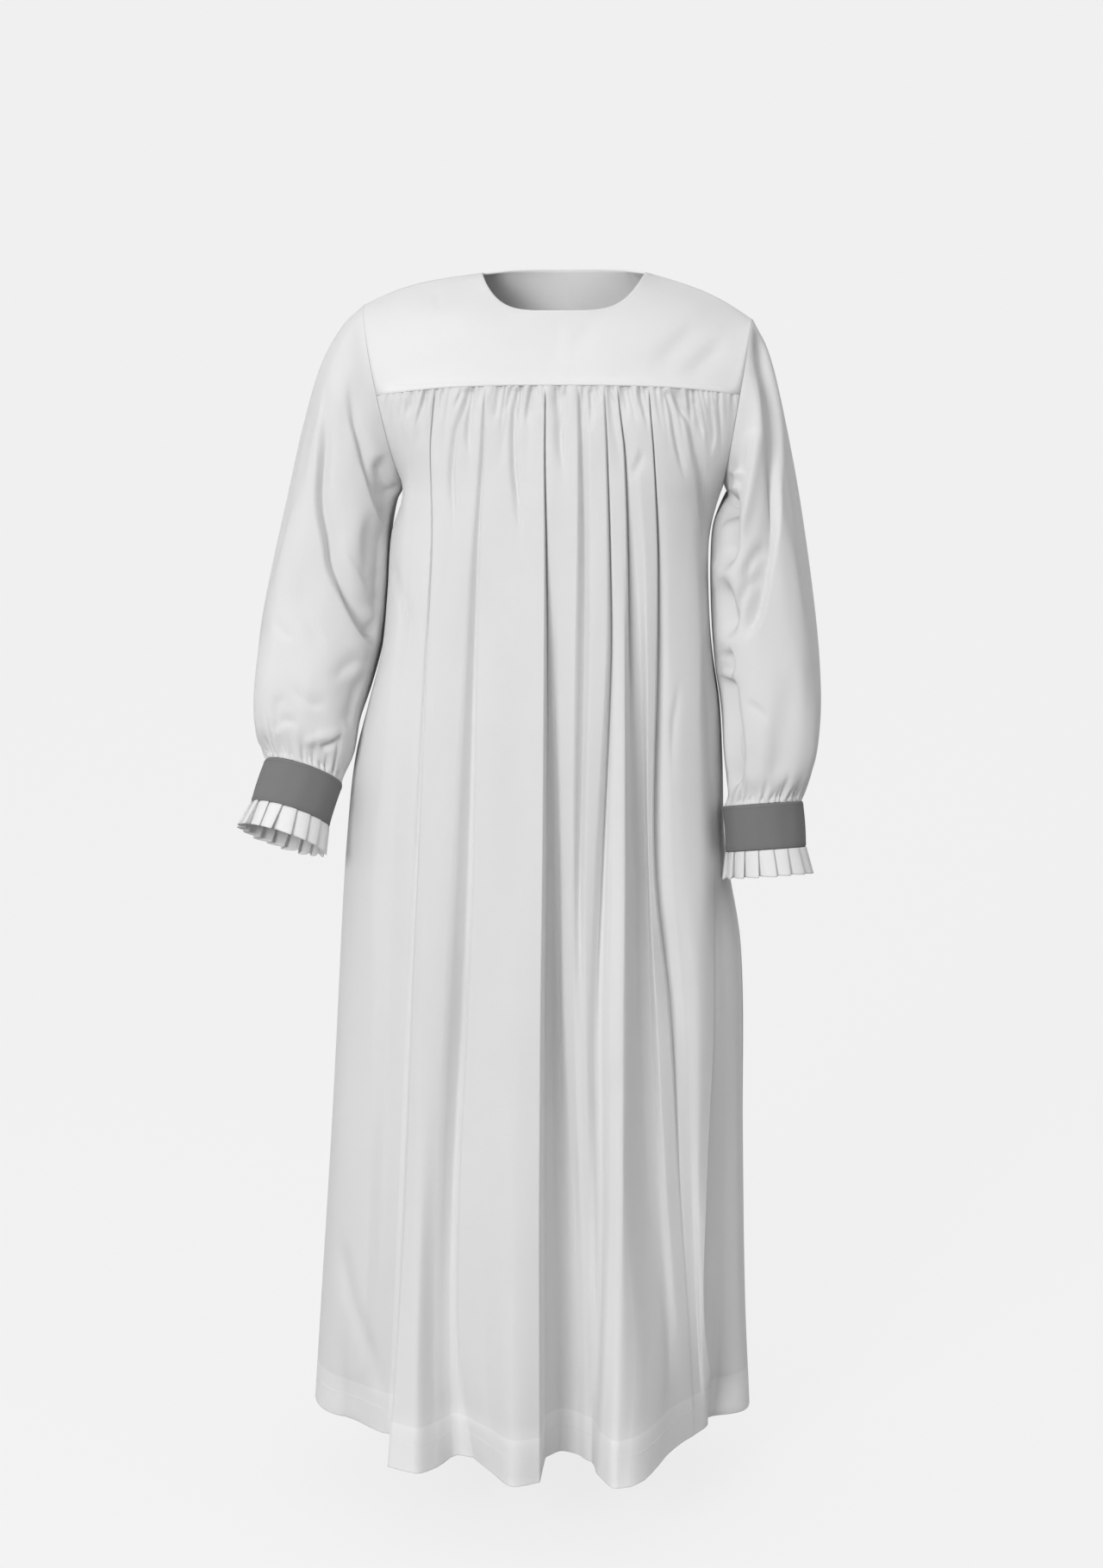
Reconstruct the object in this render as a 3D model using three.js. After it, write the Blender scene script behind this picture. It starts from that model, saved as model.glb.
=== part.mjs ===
// A worn rochet: a long white linen-cotton vestment, open at neck, hem and cuffs.
// A flat doubled yoke lies on the shoulders, the body hangs from it in fine gathers that run
// together into large folds, and full sleeves are gathered into bands with pleated frills.
//
// Millimetres. +X is the wearer's left side, -Y is the front, +Z is up. The origin is the middle
// of the neck hole at the height where the shoulders carry the garment.

import * as THREE from 'three';
import { mergeVertices } from 'three/addons/utils/BufferGeometryUtils.js';

// ---------- driving dimensions ----------

const SINGLE = 1.6;          // wall of one layer of cloth, as it is built
const DOUBLE = 2.4;          // wall of two layers: yoke, hem, cuff bands
const SEAM_GAP = 0.3;        // between two pieces that are sewn together
const ARMHOLE_GAP = 0.5;     // between an armhole and its sleeve, along X

const HEM_Z = -1311;         // lower edge all round
const HEM_DEPTH = 50;        // cloth turned up inside the lower edge
const UNDERARM_Z = -236;     // where the side seams start

const NECK = {
  half_width: 90,
  front_reach: 76,
  back_reach: 68,
  side_z: -4,
  front_z: -48,
  back_z: 3,
  squareness: 2.4,
  flatness: 4.5,
};

const SHOULDER_RISE = 7;     // how far a shoulder stands above the straight line of its seam
const CHEST_RISE = 15;       // how far the yoke stands out towards an armhole corner
const YOKE_RISE = 5;         // and at its middle

// The armholes: top and bottom points of each loop, and half of its depth from front to back.
const ARMHOLES = {
  left: { top_x: -222, top_z: -38, bottom_x: -180, bottom_z: UNDERARM_Z, half_depth: 70 },
  right: { top_x: 208, top_z: -56, bottom_x: 178, bottom_z: UNDERARM_Z, half_depth: 70 },
};

// The body's section at a height: centre, half width, and reach to the front and to the back.
const BODY_SECTIONS = [
  { z: -128, centre_x: 0, half_width: 226, front: 112, back: 104, squareness: 2.5 },
  { z: UNDERARM_Z, centre_x: -1, half_width: 179, front: 124, back: 117, squareness: 2.5 },
  { z: -290, centre_x: -15, half_width: 178, front: 129, back: 123, squareness: 2.5 },
  { z: -355, centre_x: -18, half_width: 180, front: 135, back: 130, squareness: 2.5 },
  { z: -420, centre_x: -19, half_width: 186, front: 141, back: 137, squareness: 2.4 },
  { z: -480, centre_x: -22, half_width: 198, front: 147, back: 144, squareness: 2.3 },
  { z: -545, centre_x: -28, half_width: 208, front: 152, back: 150, squareness: 2.2 },
  { z: -640, centre_x: -31, half_width: 215, front: 159, back: 159, squareness: 2.1 },
  { z: -763, centre_x: -26, half_width: 229, front: 168, back: 168, squareness: 2.05 },
  { z: -980, centre_x: -31, half_width: 237, front: 182, back: 184, squareness: 2 },
  { z: -1177, centre_x: -36, half_width: 247, front: 194, back: 197, squareness: 1.9 },
  { z: HEM_Z, centre_x: -37, half_width: 255, front: 202, back: 206, squareness: 1.85 },
];

// The seams where the gathers end: height at the middle, and how far it drops at the armholes.
const SEAMS = {
  front: { z: -128, drop: 10 },
  back: { z: -146, drop: 6 },
};
const SEAM_HALF_LENGTH = 195;  // a seam has its whole drop this far from the middle
const SEAM_LEVELS_OVER = 80;   // rows of cloth are level again this far below a seam

// The large folds, from the -X side seam to the +X side seam. `at` is the place in the cloth in
// forty-eighths of the panel's width, `x` is where that thread hangs at each of FOLD_HEIGHTS,
// and `out` is how far it stands out of the body's section at the last four of those heights.
const FOLD_HEIGHTS = [-128, -420, -700, -980, HEM_Z];
const THREADS = 48;
const FOLDS = {
  front: [
    { fold: 'side seam', at: 0, out: [0, 2, 3, 4] },
    { fold: 'flank ridge', at: 4, x: [-166, -172, -206, -224, -242], out: [3, 3, -3, -12] },
    { fold: 'left trough', at: 8, x: [-140, -150, -166, -178, -194], out: [-4, -12, -24, -34] },
    { fold: 'left ridge edge', at: 10, x: [-127, -138, -152, -162, -181], out: [3, 10, 22, 34] },
    { fold: 'left ridge', at: 14, x: [-98, -112, -126, -132, -128], out: [4, 9, 16, 24] },
    { fold: 'second trough', at: 17, x: [-74, -86, -100, -112, -99], out: [-7, -12, -18, -18] },
    { fold: 'wide ridge left', at: 20, x: [-50, -62, -72, -80, -67], out: [2, 7, 14, 18] },
    { fold: 'wide ridge', at: 24, x: [-30, -32, -34, -35, -36], out: [5, 12, 26, 43] },
    { fold: 'middle edge', at: 26, x: [-17, -13, -11, -13, -12], out: [6, 13, 25, 34] },
    { fold: 'middle trough', at: 27, x: [-10, -4, -2, 0, 2], out: [-9, -20, -34, -44] },
    { fold: 'third trough', at: 29, x: [8, 18, 19, 20, 20], out: [-7, -9, -24, -45] },
    { fold: 'low ridge', at: 31, x: [30, 37, 33, 33, 36], out: [3, 2, -8, -26] },
    { fold: 'fourth trough', at: 33, x: [47, 55, 46, 45, 46], out: [-8, -8, -6, -6] },
    { fold: 'narrow ridge left', at: 35, x: [58, 64, 58, 58, 58], out: [6, 11, 20, 31] },
    { fold: 'narrow ridge', at: 37, x: [66, 74, 77, 79, 84], out: [6, 13, 26, 44] },
    { fold: 'fifth trough', at: 39, x: [76, 85, 91, 101, 116], out: [-8, -16, -18, 10] },
    { fold: 'sixth trough', at: 42, x: [100, 111, 117, 136, 146], out: [-9, -12, -15, -16] },
    { fold: 'right ridge', at: 45, x: [134, 146, 167, 161, 166], out: [5, 11, 11, -8] },
    { fold: 'flank trough', at: 47, x: [160, 156, 186, 188, 195], out: [-2, -7, -14, -24] },
    { fold: 'side seam', at: 48, out: [0, 0, 2, 2] },
  ],
  back: [
    { fold: 'side seam', at: 0, out: [0, 2, 3, 4] },
    { fold: 'first ridge', at: 4, x: [-164, -172, -205, -221, -236], out: [3, 7, 12, 16] },
    { fold: 'first trough', at: 7, x: [-140, -150, -173, -187, -201], out: [-5, -10, -18, -25] },
    { fold: 'second ridge', at: 11, x: [-112, -122, -138, -150, -158], out: [5, 12, 22, 33] },
    { fold: 'second trough', at: 14, x: [-88, -97, -105, -112, -112], out: [-7, -14, -24, -31] },
    { fold: 'third ridge', at: 18, x: [-58, -66, -70, -74, -68], out: [5, 12, 23, 35] },
    { fold: 'third trough', at: 21, x: [-35, -38, -39, -37, -35], out: [-7, -14, -25, -36] },
    { fold: 'middle ridge', at: 25, x: [-6, -8, -5, -1, 1], out: [5, 14, 27, 41] },
    { fold: 'fourth trough', at: 28, x: [22, 21, 22, 27, 30], out: [-8, -16, -27, -38] },
    { fold: 'fourth ridge', at: 32, x: [51, 50, 52, 59, 66], out: [5, 12, 23, 36] },
    { fold: 'fifth trough', at: 35, x: [76, 77, 81, 87, 97], out: [-7, -14, -23, -32] },
    { fold: 'fifth ridge', at: 39, x: [104, 107, 116, 121, 131], out: [5, 11, 21, 30] },
    { fold: 'sixth trough', at: 42, x: [132, 130, 141, 147, 155], out: [-5, -10, -16, -23] },
    { fold: 'sixth ridge', at: 45, x: [160, 150, 170, 177, 189], out: [3, 6, 10, 14] },
    { fold: 'side seam', at: 48, out: [0, 0, 2, 2] },
  ],
};
const FOLDS_OPEN_OVER = 130; // the large folds reach their depth this far below the seam

// The gathers at the seams: one wave to every other thread, each pair merging further down.
const GATHER_WAVE = 2.0;
const GATHER_LENGTH = 26;
const MERGED_WAVE = 3.2;
const MERGED_LENGTH = 150;

// Heights of a panel's rows, below its seam.
const FINE_ROWS = [0, 9];
const PANEL_ROWS = [22, 44, 76, 108, 150, 215, 290, 375, 460, 560, 660, 755, 850, 945, 1040];

// The sleeves, from armhole to cuff band: the ring's outermost and innermost points, the middle
// and half of its depth from front to back, its forward tilt in degrees, and how far its
// gathers and its soft creases stand out.
const SLEEVES = {
  left: [
    { outer: [-246, -62], inner: [-184, -245], mid_y: -2, half_depth: 76, tilt: 0, crease: 1 },
    { outer: [-270, -108], inner: [-190, -256], mid_y: -3, half_depth: 82, tilt: 0, crease: 3 },
    { outer: [-290, -172], inner: [-197, -282], mid_y: -4, half_depth: 85, tilt: 0, crease: 5 },
    { outer: [-309, -250], inner: [-198, -318], mid_y: -6, half_depth: 86, tilt: 0, crease: 6 },
    { outer: [-327, -324], inner: [-202, -364], mid_y: -10, half_depth: 84, tilt: 4, crease: 6 },
    { outer: [-339, -384], inner: [-208, -411], mid_y: -18, half_depth: 82, tilt: 10, crease: 5 },
    { outer: [-343, -432], inner: [-218, -450], mid_y: -32, half_depth: 79, tilt: 15, crease: 4 },
    { outer: [-343, -478], inner: [-227, -490], mid_y: -50, half_depth: 73, tilt: 19, crease: 3 },
    { outer: [-341, -512], inner: [-232, -526], mid_y: -64, half_depth: 62, tilt: 22, crease: 2 },
    { outer: [-334, -532], inner: [-240, -551], mid_y: -72, half_depth: 50, tilt: 24, gather: 3 },
    { outer: [-327, -542], inner: [-244, -565], mid_y: -77, half_depth: 43, tilt: 24, gather: 1.5 },
  ],
  right: [
    { outer: [226, -92], inner: [181, -246], mid_y: -2, half_depth: 76, tilt: 0, crease: 1 },
    { outer: [240, -145], inner: [176, -257], mid_y: -3, half_depth: 82, tilt: 0, crease: 3 },
    { outer: [254, -217], inner: [169, -284], mid_y: -4, half_depth: 84, tilt: 0, crease: 5 },
    { outer: [266, -287], inner: [165, -325], mid_y: -6, half_depth: 84, tilt: 0, crease: 6 },
    { outer: [278, -365], inner: [167, -382], mid_y: -10, half_depth: 81, tilt: 2, crease: 6 },
    { outer: [286, -428], inner: [172, -434], mid_y: -16, half_depth: 78, tilt: 4, crease: 5 },
    { outer: [289, -480], inner: [180, -484], mid_y: -26, half_depth: 73, tilt: 6, crease: 4 },
    { outer: [286, -526], inner: [184, -530], mid_y: -38, half_depth: 64, tilt: 8, crease: 3 },
    { outer: [280, -553], inner: [188, -559], mid_y: -45, half_depth: 55, tilt: 9, crease: 2 },
    { outer: [273, -572], inner: [186, -578], mid_y: -48, half_depth: 47, tilt: 9, gather: 3 },
    { outer: [268, -584], inner: [182, -591], mid_y: -50, half_depth: 43, tilt: 9.5, gather: 1.5 },
  ],
};
const SLEEVE_COLUMNS = 40;   // two to each gather at the cuff band
const SLEEVE_CREASES = 5;    // soft folds round a sleeve

// Cuff bands and their frills. `lean` is how far the hand end moves along X.
const CUFF = { depth: 51, flare: 1.5, columns: 40 };
const CUFF_LEAN = { left: -13, right: 4 };
const FRILL = { depth: 30, pleats: 17, pleat_step: 2.6, flare: 2.5 };

const COLOURS = {
  body: 0xe9e9ec,
  doubled: 0xf3f3f6,
  cuff: 0xa9abb2,
};

// ---------- small tools ----------

// A smooth curve through (heights, values); heights run downwards.
function along(heights, values, z) {
  const last = heights.length - 1;
  if (z >= heights[0]) return values[0];
  if (z <= heights[last]) return values[last];
  const slope = (i) => {
    const a = Math.max(i - 1, 0);
    const b = Math.min(i + 1, last);
    return (values[b] - values[a]) / (heights[b] - heights[a]);
  };
  const i = heights.findIndex((h, k) => k < last && z > heights[k + 1]);
  const span = heights[i + 1] - heights[i];
  const t = (z - heights[i]) / span;
  const start = (1 + 2 * t) * (1 - t) ** 2 * values[i] + t * (1 - t) ** 2 * span * slope(i);
  const end = t * t * (3 - 2 * t) * values[i + 1] - t * t * (1 - t) * span * slope(i + 1);
  return start + end;
}

const ease = (t) => t * t * (3 - 2 * t);
const clamp01 = (t) => Math.min(Math.max(t, 0), 1);
const mix = (a, b, t) => a + (b - a) * t;
const point = (x, y, z) => new THREE.Vector3(x, y, z);

// Makes a closed wall from rows of { outer, inner } points. Rows may differ in how many points
// they hold. A ring's rows close on themselves, a panel's rows have two side edges.
function wall(rows, isRing) {
  const positions = [];
  const triangle = (a, b, c) => positions.push(...a.toArray(), ...b.toArray(), ...c.toArray());
  const pointAt = (row, i, layer) => row[isRing ? i % row.length : i][layer];
  const segments = (row) => (isRing ? row.length : row.length - 1);

  // Zips two polylines together, always advancing the one that lags.
  const zip = (top, bottom, topLayer, bottomLayer, flip) => {
    const topCount = segments(top);
    const bottomCount = segments(bottom);
    let i = 0;
    let j = 0;
    while (i < topCount || j < bottomCount) {
      const advanceTop = j >= bottomCount || (i < topCount && (i + 1) / topCount <= (j + 1) / bottomCount);
      const a = pointAt(top, i, topLayer);
      const b = pointAt(bottom, j, bottomLayer);
      const c = advanceTop ? pointAt(top, i + 1, topLayer) : pointAt(bottom, j + 1, bottomLayer);
      if (flip) triangle(a, c, b);
      else triangle(a, b, c);
      if (advanceTop) i += 1;
      else j += 1;
    }
  };

  for (let r = 0; r + 1 < rows.length; r += 1) {
    zip(rows[r], rows[r + 1], 'outer', 'outer', false);
    zip(rows[r], rows[r + 1], 'inner', 'inner', true);
  }
  const lowest = rows[rows.length - 1];
  zip(rows[0], rows[0], 'outer', 'inner', true);
  zip(lowest, lowest, 'outer', 'inner', false);
  if (!isRing) {
    for (const [side, flip] of [[(row) => row[0], false], [(row) => row[row.length - 1], true]]) {
      const edge = rows.map(side);
      for (let r = 0; r + 1 < edge.length; r += 1) {
        const [a, b] = [edge[r], edge[r + 1]];
        if (flip) {
          triangle(a.outer, b.outer, b.inner);
          triangle(a.outer, b.inner, a.inner);
        } else {
          triangle(a.outer, b.inner, b.outer);
          triangle(a.outer, a.inner, b.inner);
        }
      }
    }
  }

  const geometry = new THREE.BufferGeometry();
  geometry.setAttribute('position', new THREE.Float32BufferAttribute(positions, 3));
  const merged = mergeVertices(geometry, 1e-4);
  return volumeOf(merged) < 0 ? turnedInsideOut(merged) : merged;
}

function volumeOf(geometry) {
  const [a, b, c] = [point(), point(), point()];
  const { index, attributes } = geometry;
  let volume = 0;
  for (let i = 0; i < index.count; i += 3) {
    a.fromBufferAttribute(attributes.position, index.getX(i));
    b.fromBufferAttribute(attributes.position, index.getX(i + 1));
    c.fromBufferAttribute(attributes.position, index.getX(i + 2));
    volume += a.dot(b.cross(c)) / 6;
  }
  return volume;
}

function turnedInsideOut(geometry) {
  const { index } = geometry;
  for (let i = 0; i < index.count; i += 3) {
    const second = index.getX(i + 1);
    index.setX(i + 1, index.getX(i + 2));
    index.setX(i + 2, second);
  }
  return geometry;
}

// ---------- armholes, neck and seams ----------

// A point of an armhole loop: 0 at the shoulder, 90 degrees at the front or back, 180 below.
function armholePoint(side, face, turn) {
  const { top_x, top_z, bottom_x, bottom_z, half_depth } = ARMHOLES[side];
  const up = (1 + Math.cos(turn)) / 2;
  const forward = face === 'front' ? -1 : 1;
  return point(
    mix(bottom_x, top_x, up),
    forward * half_depth * Math.sin(turn),
    mix(bottom_z, top_z, up),
  );
}

function armholeTurnAtHeight(side, z) {
  const { top_z, bottom_z } = ARMHOLES[side];
  return Math.acos(Math.min(Math.max(2 * (z - bottom_z) / (top_z - bottom_z) - 1, -1), 1));
}

// The neck edge; `across` runs from -1 at the -X shoulder seam to 1 at the +X one.
function neckPoint(face, across) {
  const angle = across * Math.PI / 2;
  const power = 2 / NECK.squareness;
  const x = NECK.half_width * Math.sign(across) * Math.abs(Math.sin(angle)) ** power;
  const reach = face === 'front' ? -NECK.front_reach : NECK.back_reach;
  const y = reach * Math.abs(Math.cos(angle)) ** power;
  const far = face === 'front' ? NECK.front_z : NECK.back_z;
  const z = mix(far, NECK.side_z, Math.abs(x / NECK.half_width) ** NECK.flatness);
  return point(x, y, z);
}

function seamHeight(face, x) {
  const { z, drop } = SEAMS[face];
  return z - drop * Math.abs(x / SEAM_HALF_LENGTH) ** 3;
}

// ---------- the body panels ----------

function section(face, z) {
  const heights = BODY_SECTIONS.map((row) => row.z);
  const value = (name) => along(heights, BODY_SECTIONS.map((row) => row[name]), z);
  return {
    centre: value('centre_x'),
    halfWidth: value('half_width'),
    reach: value(face),
    power: value('squareness'),
  };
}

// How far the cloth of the section stands from the middle plane at x.
function sectionReach(shape, x) {
  const side = clamp01(Math.abs((x - shape.centre) / shape.halfWidth));
  return shape.reach * (1 - side ** shape.power) ** (1 / shape.power);
}

// The ends of a panel at a height: on the armhole above the underarm, else at the side seam.
function panelEnd(side, face, z) {
  if (z > UNDERARM_Z) return armholePoint(side, face, armholeTurnAtHeight(side, z));
  const { centre, halfWidth } = section(face, z);
  return point(centre + (side === 'left' ? -halfWidth : halfWidth), 0, z);
}

// The section through both armhole points is wider than the cloth between them.
function panelSection(face, z) {
  const shape = section(face, z);
  if (z <= UNDERARM_Z) return { left: shape, right: shape };
  const widened = (side) => {
    const end = panelEnd(side, face, z);
    const depth = clamp01(Math.abs(end.y) / shape.reach) ** shape.power;
    const halfWidth = Math.abs(end.x - shape.centre) / (1 - depth) ** (1 / shape.power);
    return { ...shape, halfWidth };
  };
  return { left: widened('left'), right: widened('right') };
}

// A thread's place at a height, before it gets its gathers. `at` is in threads.
function panelPoint(face, at, z) {
  const folds = FOLDS[face];
  const k = Math.min(folds.findIndex((row) => row.at >= at) || 1, folds.length - 1);
  const [from, to] = [folds[k - 1], folds[k]];
  const ends = { left: panelEnd('left', face, z), right: panelEnd('right', face, z) };
  const foldX = (row) => {
    if (row.at === 0) return ends.left.x;
    if (row.at === THREADS) return ends.right.x;
    return along(FOLD_HEIGHTS, row.x, z);
  };
  const depthHeights = FOLD_HEIGHTS.slice(1);
  const opened = ease(clamp01((SEAMS[face].z - z) / FOLDS_OPEN_OVER));
  const foldOut = (row) => opened * along(depthHeights, row.out, z);
  const t = (at - from.at) / (to.at - from.at);
  const x = mix(foldX(from), foldX(to), t);
  const out = mix(foldOut(from), foldOut(to), ease(t));
  const shape = panelSection(face, z)[x < section(face, z).centre ? 'left' : 'right'];
  const forward = face === 'front' ? -1 : 1;
  let y = forward * sectionReach(shape, x);
  if (at === 0) y = ends.left.y;
  if (at === THREADS) y = ends.right.y;
  const away = point((x - shape.centre) / shape.halfWidth ** 2, y / shape.reach ** 2, 0).normalize();
  return point(x, y, z).addScaledVector(away, out);
}

// Gathers stand out and in by turns: fine ones at the seam, merged ones below them.
function gatherOut(index, columns, below) {
  const sign = index % 2 === 0 ? -1 : 1;
  const fromSide = Math.min(index, columns - index) * THREADS / columns;
  const calmSide = ease(clamp01((fromSide - 1) / 4));
  const unevenness = 0.75 + 0.25 * Math.sin(2.3 * index);
  const isFine = columns > THREADS;
  const size = isFine ? GATHER_WAVE : MERGED_WAVE;
  const fading = 1 - clamp01(below / (isFine ? 3 * GATHER_LENGTH : MERGED_LENGTH));
  return sign * size * unevenness * fading * calmSide;
}

// Horizontal outward normals of a row, lengthened at corners so that the wall keeps its width.
function rowNormals(points, forward) {
  const last = points.length - 1;
  return points.map((p, i) => {
    const before = points[Math.max(i - 1, 0)];
    const after = points[Math.min(i + 1, last)];
    const one = point(p.x - before.x, p.y - before.y, 0);
    const two = point(after.x - p.x, after.y - p.y, 0);
    if (one.length() === 0) one.copy(two);
    if (two.length() === 0) two.copy(one);
    one.normalize();
    two.normalize();
    const tangent = one.clone().add(two).normalize();
    const stretch = Math.min(1 / Math.max(tangent.dot(one), 0.6), 1.5);
    return point(-tangent.y, tangent.x, 0).multiplyScalar(forward * stretch);
  });
}

function panelRow(face, below, columns, thickness, isSeamRow) {
  const forward = face === 'front' ? -1 : 1;
  const threads = Array.from({ length: columns + 1 }, (_, i) => i * THREADS / columns);
  const points = threads.map((at) => {
    const seamX = panelPoint(face, at, SEAMS[face].z).x;
    const seamZ = seamHeight(face, seamX) - SEAM_GAP / 2;
    const z = isSeamRow ? seamZ : mix(seamZ, SEAMS[face].z, clamp01(below / SEAM_LEVELS_OVER)) - below;
    return panelPoint(face, at, Math.max(z, HEM_Z));
  });
  const normals = rowNormals(points, forward);
  return points.map((p, i) => {
    const isEdge = i === 0 || i === columns;
    const wave = isEdge ? 0 : gatherOut(i, columns, below);
    const outer = p.clone().addScaledVector(normals[i], wave);
    const inner = outer.clone().addScaledVector(normals[i], -thickness);
    if (isEdge) {
      // side seams meet the other panel on the plane between them
      outer.y += forward * SEAM_GAP / 2;
      inner.set(outer.x - Math.sign(outer.x) * thickness, outer.y, outer.z);
      if (Math.abs(p.y) > 1) inner.copy(outer).addScaledVector(normals[i], -thickness);
      inner.y = forward * Math.max(forward * inner.y, SEAM_GAP / 2);
    }
    return { outer, inner };
  });
}

function bodyPanel(face) {
  const length = SEAMS[face].z - HEM_Z;
  const hemLine = length - HEM_DEPTH;
  const rows = FINE_ROWS.map((below, i) => panelRow(face, below, 2 * THREADS, SINGLE, i === 0));
  for (const below of PANEL_ROWS.filter((below) => below < hemLine - 20)) {
    rows.push(panelRow(face, below, THREADS, SINGLE));
  }
  rows.push(panelRow(face, hemLine, THREADS, SINGLE));
  rows.push(panelRow(face, hemLine + 3, THREADS, DOUBLE));
  rows.push(panelRow(face, length, THREADS, DOUBLE));
  return wall(rows, false);
}

// ---------- the yoke ----------

const YOKE_COLUMNS = 28;     // from shoulder seam to shoulder seam
const CORNER = 0.3;          // share of them on each armhole
const YOKE_ROWS = 6;

// The yoke's outer edge: down one armhole, along the seam, up the other armhole.
function yokeEdge(face, share) {
  const side = share < 0.5 ? 'left' : 'right';
  const fromShoulder = Math.min(share, 1 - share);
  const cornerZ = seamHeight(face, SEAM_HALF_LENGTH);
  const cornerTurn = armholeTurnAtHeight(side, cornerZ);
  if (fromShoulder <= CORNER) return armholePoint(side, face, cornerTurn * fromShoulder / CORNER);
  const left = armholePoint('left', face, armholeTurnAtHeight('left', cornerZ)).x;
  const right = armholePoint('right', face, armholeTurnAtHeight('right', cornerZ)).x;
  const x = mix(left, right, (share - CORNER) / (1 - 2 * CORNER));
  const z = seamHeight(face, x);
  const shape = panelSection(face, z)[x < 0 ? 'left' : 'right'];
  return point(x, (face === 'front' ? -1 : 1) * sectionReach(shape, x), z);
}

function yokePoint(face, share, down) {
  const neck = neckPoint(face, 2 * share - 1);
  const edge = yokeEdge(face, share);
  const place = neck.clone().lerp(edge, down);
  const fromShoulder = Math.min(share, 1 - share);
  const bow = Math.sin(Math.PI * down) * (1 - 0.25 * Math.cos(Math.PI * down));
  const corner = Math.sin(Math.PI * clamp01(fromShoulder / (2 * CORNER)));
  const rise = mix(mix(SHOULDER_RISE, YOKE_RISE, clamp01(fromShoulder / 0.5)), CHEST_RISE, corner);
  const forward = face === 'front' ? -1 : 1;
  const outwards = mix(0, 1, clamp01(fromShoulder / CORNER));
  const direction = point(0, forward * outwards, 1 - 0.6 * outwards).normalize();
  return place.addScaledVector(direction, rise * bow);
}

function yoke(face) {
  const forward = face === 'front' ? -1 : 1;
  const step = 0.004;
  const rows = [];
  for (let r = 0; r <= YOKE_ROWS; r += 1) {
    const down = r / YOKE_ROWS;
    const row = [];
    for (let c = 0; c <= YOKE_COLUMNS; c += 1) {
      const share = c / YOKE_COLUMNS;
      const outer = yokePoint(face, share, down);
      const beside = yokePoint(face, Math.min(share + step, 1), down)
        .sub(yokePoint(face, Math.max(share - step, 0), down));
      const below = yokePoint(face, share, Math.min(down + step, 1))
        .sub(yokePoint(face, share, Math.max(down - step, 0)));
      const normal = beside.cross(below).multiplyScalar(forward).normalize();
      if (c === 0 || c === YOKE_COLUMNS) normal.setY(0).normalize();
      const onSeam = share > CORNER - 1e-6 && share < 1 - CORNER + 1e-6;
      if (r === YOKE_ROWS && onSeam) {
        normal.setZ(0).normalize();
        outer.z += SEAM_GAP / 2;
      } else if (r === YOKE_ROWS) {
        normal.setX(0).normalize();
      }
      if (c === 0 || c === YOKE_COLUMNS) outer.y += forward * SEAM_GAP / 2;
      row.push({ outer, inner: outer.clone().addScaledVector(normal, -DOUBLE) });
    }
    rows.push(row);
  }
  return wall(rows, false);
}

// ---------- sleeves, cuff bands and frills ----------

// A point on a sleeve's ring: 0 degrees at its outermost point, 90 at the front.
function ringPoint(ring, angle, grow = 0) {
  const [outerX, outerZ] = ring.outer;
  const [innerX, innerZ] = ring.inner;
  const middle = point((outerX + innerX) / 2, ring.mid_y, (outerZ + innerZ) / 2);
  const across = point(outerX - innerX, 0, outerZ - innerZ).divideScalar(2);
  const tilt = THREE.MathUtils.degToRad(ring.tilt);
  const front = point(0, -Math.cos(tilt), Math.sin(tilt)).multiplyScalar(ring.half_depth + grow);
  across.setLength(across.length() + grow);
  return middle
    .addScaledVector(across, Math.cos(angle))
    .addScaledVector(front, Math.sin(angle));
}

function ringRow(ring, columns, thickness, outAt = () => 0) {
  return Array.from({ length: columns }, (_, i) => {
    const angle = 2 * Math.PI * i / columns;
    const grow = outAt(i, angle);
    return {
      outer: ringPoint(ring, angle, grow),
      inner: ringPoint(ring, angle, grow - thickness),
    };
  });
}

function sleeve(side) {
  const { top_x, top_z, bottom_x, bottom_z, half_depth } = ARMHOLES[side];
  const outwards = side === 'left' ? -ARMHOLE_GAP : ARMHOLE_GAP;
  const armhole = {
    outer: [top_x + outwards, top_z],
    inner: [bottom_x + outwards, bottom_z],
    mid_y: 0,
    half_depth,
    tilt: 0,
  };
  const rings = [armhole, ...SLEEVES[side]];
  const rows = rings.map((ring, r) => ringRow(ring, SLEEVE_COLUMNS, SINGLE, (i, angle) => {
    const crease = (ring.crease ?? 0) * Math.cos(SLEEVE_CREASES * angle + 0.25 * r);
    const gather = (ring.gather ?? 0) * (i % 2 === 0 ? 1 : -1) * 0.5;
    return crease * Math.max(Math.cos(angle / 2) ** 2, 0.3) + gather;
  }));
  return wall(rows, true);
}

// A ring further along the arm than the sleeve's last one.
function cuffRing(side, distance) {
  const last = SLEEVES[side][SLEEVES[side].length - 1];
  const tilt = THREE.MathUtils.degToRad(last.tilt);
  const lean = Math.asin(CUFF_LEAN[side] / CUFF.depth);
  const step = point(
    Math.sin(lean),
    -Math.sin(tilt) * Math.cos(lean),
    -Math.cos(tilt) * Math.cos(lean),
  ).multiplyScalar(distance);
  return {
    outer: [last.outer[0] + step.x, last.outer[1] + step.z],
    inner: [last.inner[0] + step.x, last.inner[1] + step.z],
    mid_y: last.mid_y + step.y,
    half_depth: last.half_depth,
    tilt: last.tilt,
  };
}

function cuff(side) {
  const start = cuffRing(side, SEAM_GAP);
  const end = cuffRing(side, SEAM_GAP + CUFF.depth);
  return wall([
    ringRow(start, CUFF.columns, DOUBLE, () => CUFF.flare),
    ringRow(end, CUFF.columns, DOUBLE, () => CUFF.flare),
  ], true);
}

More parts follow.
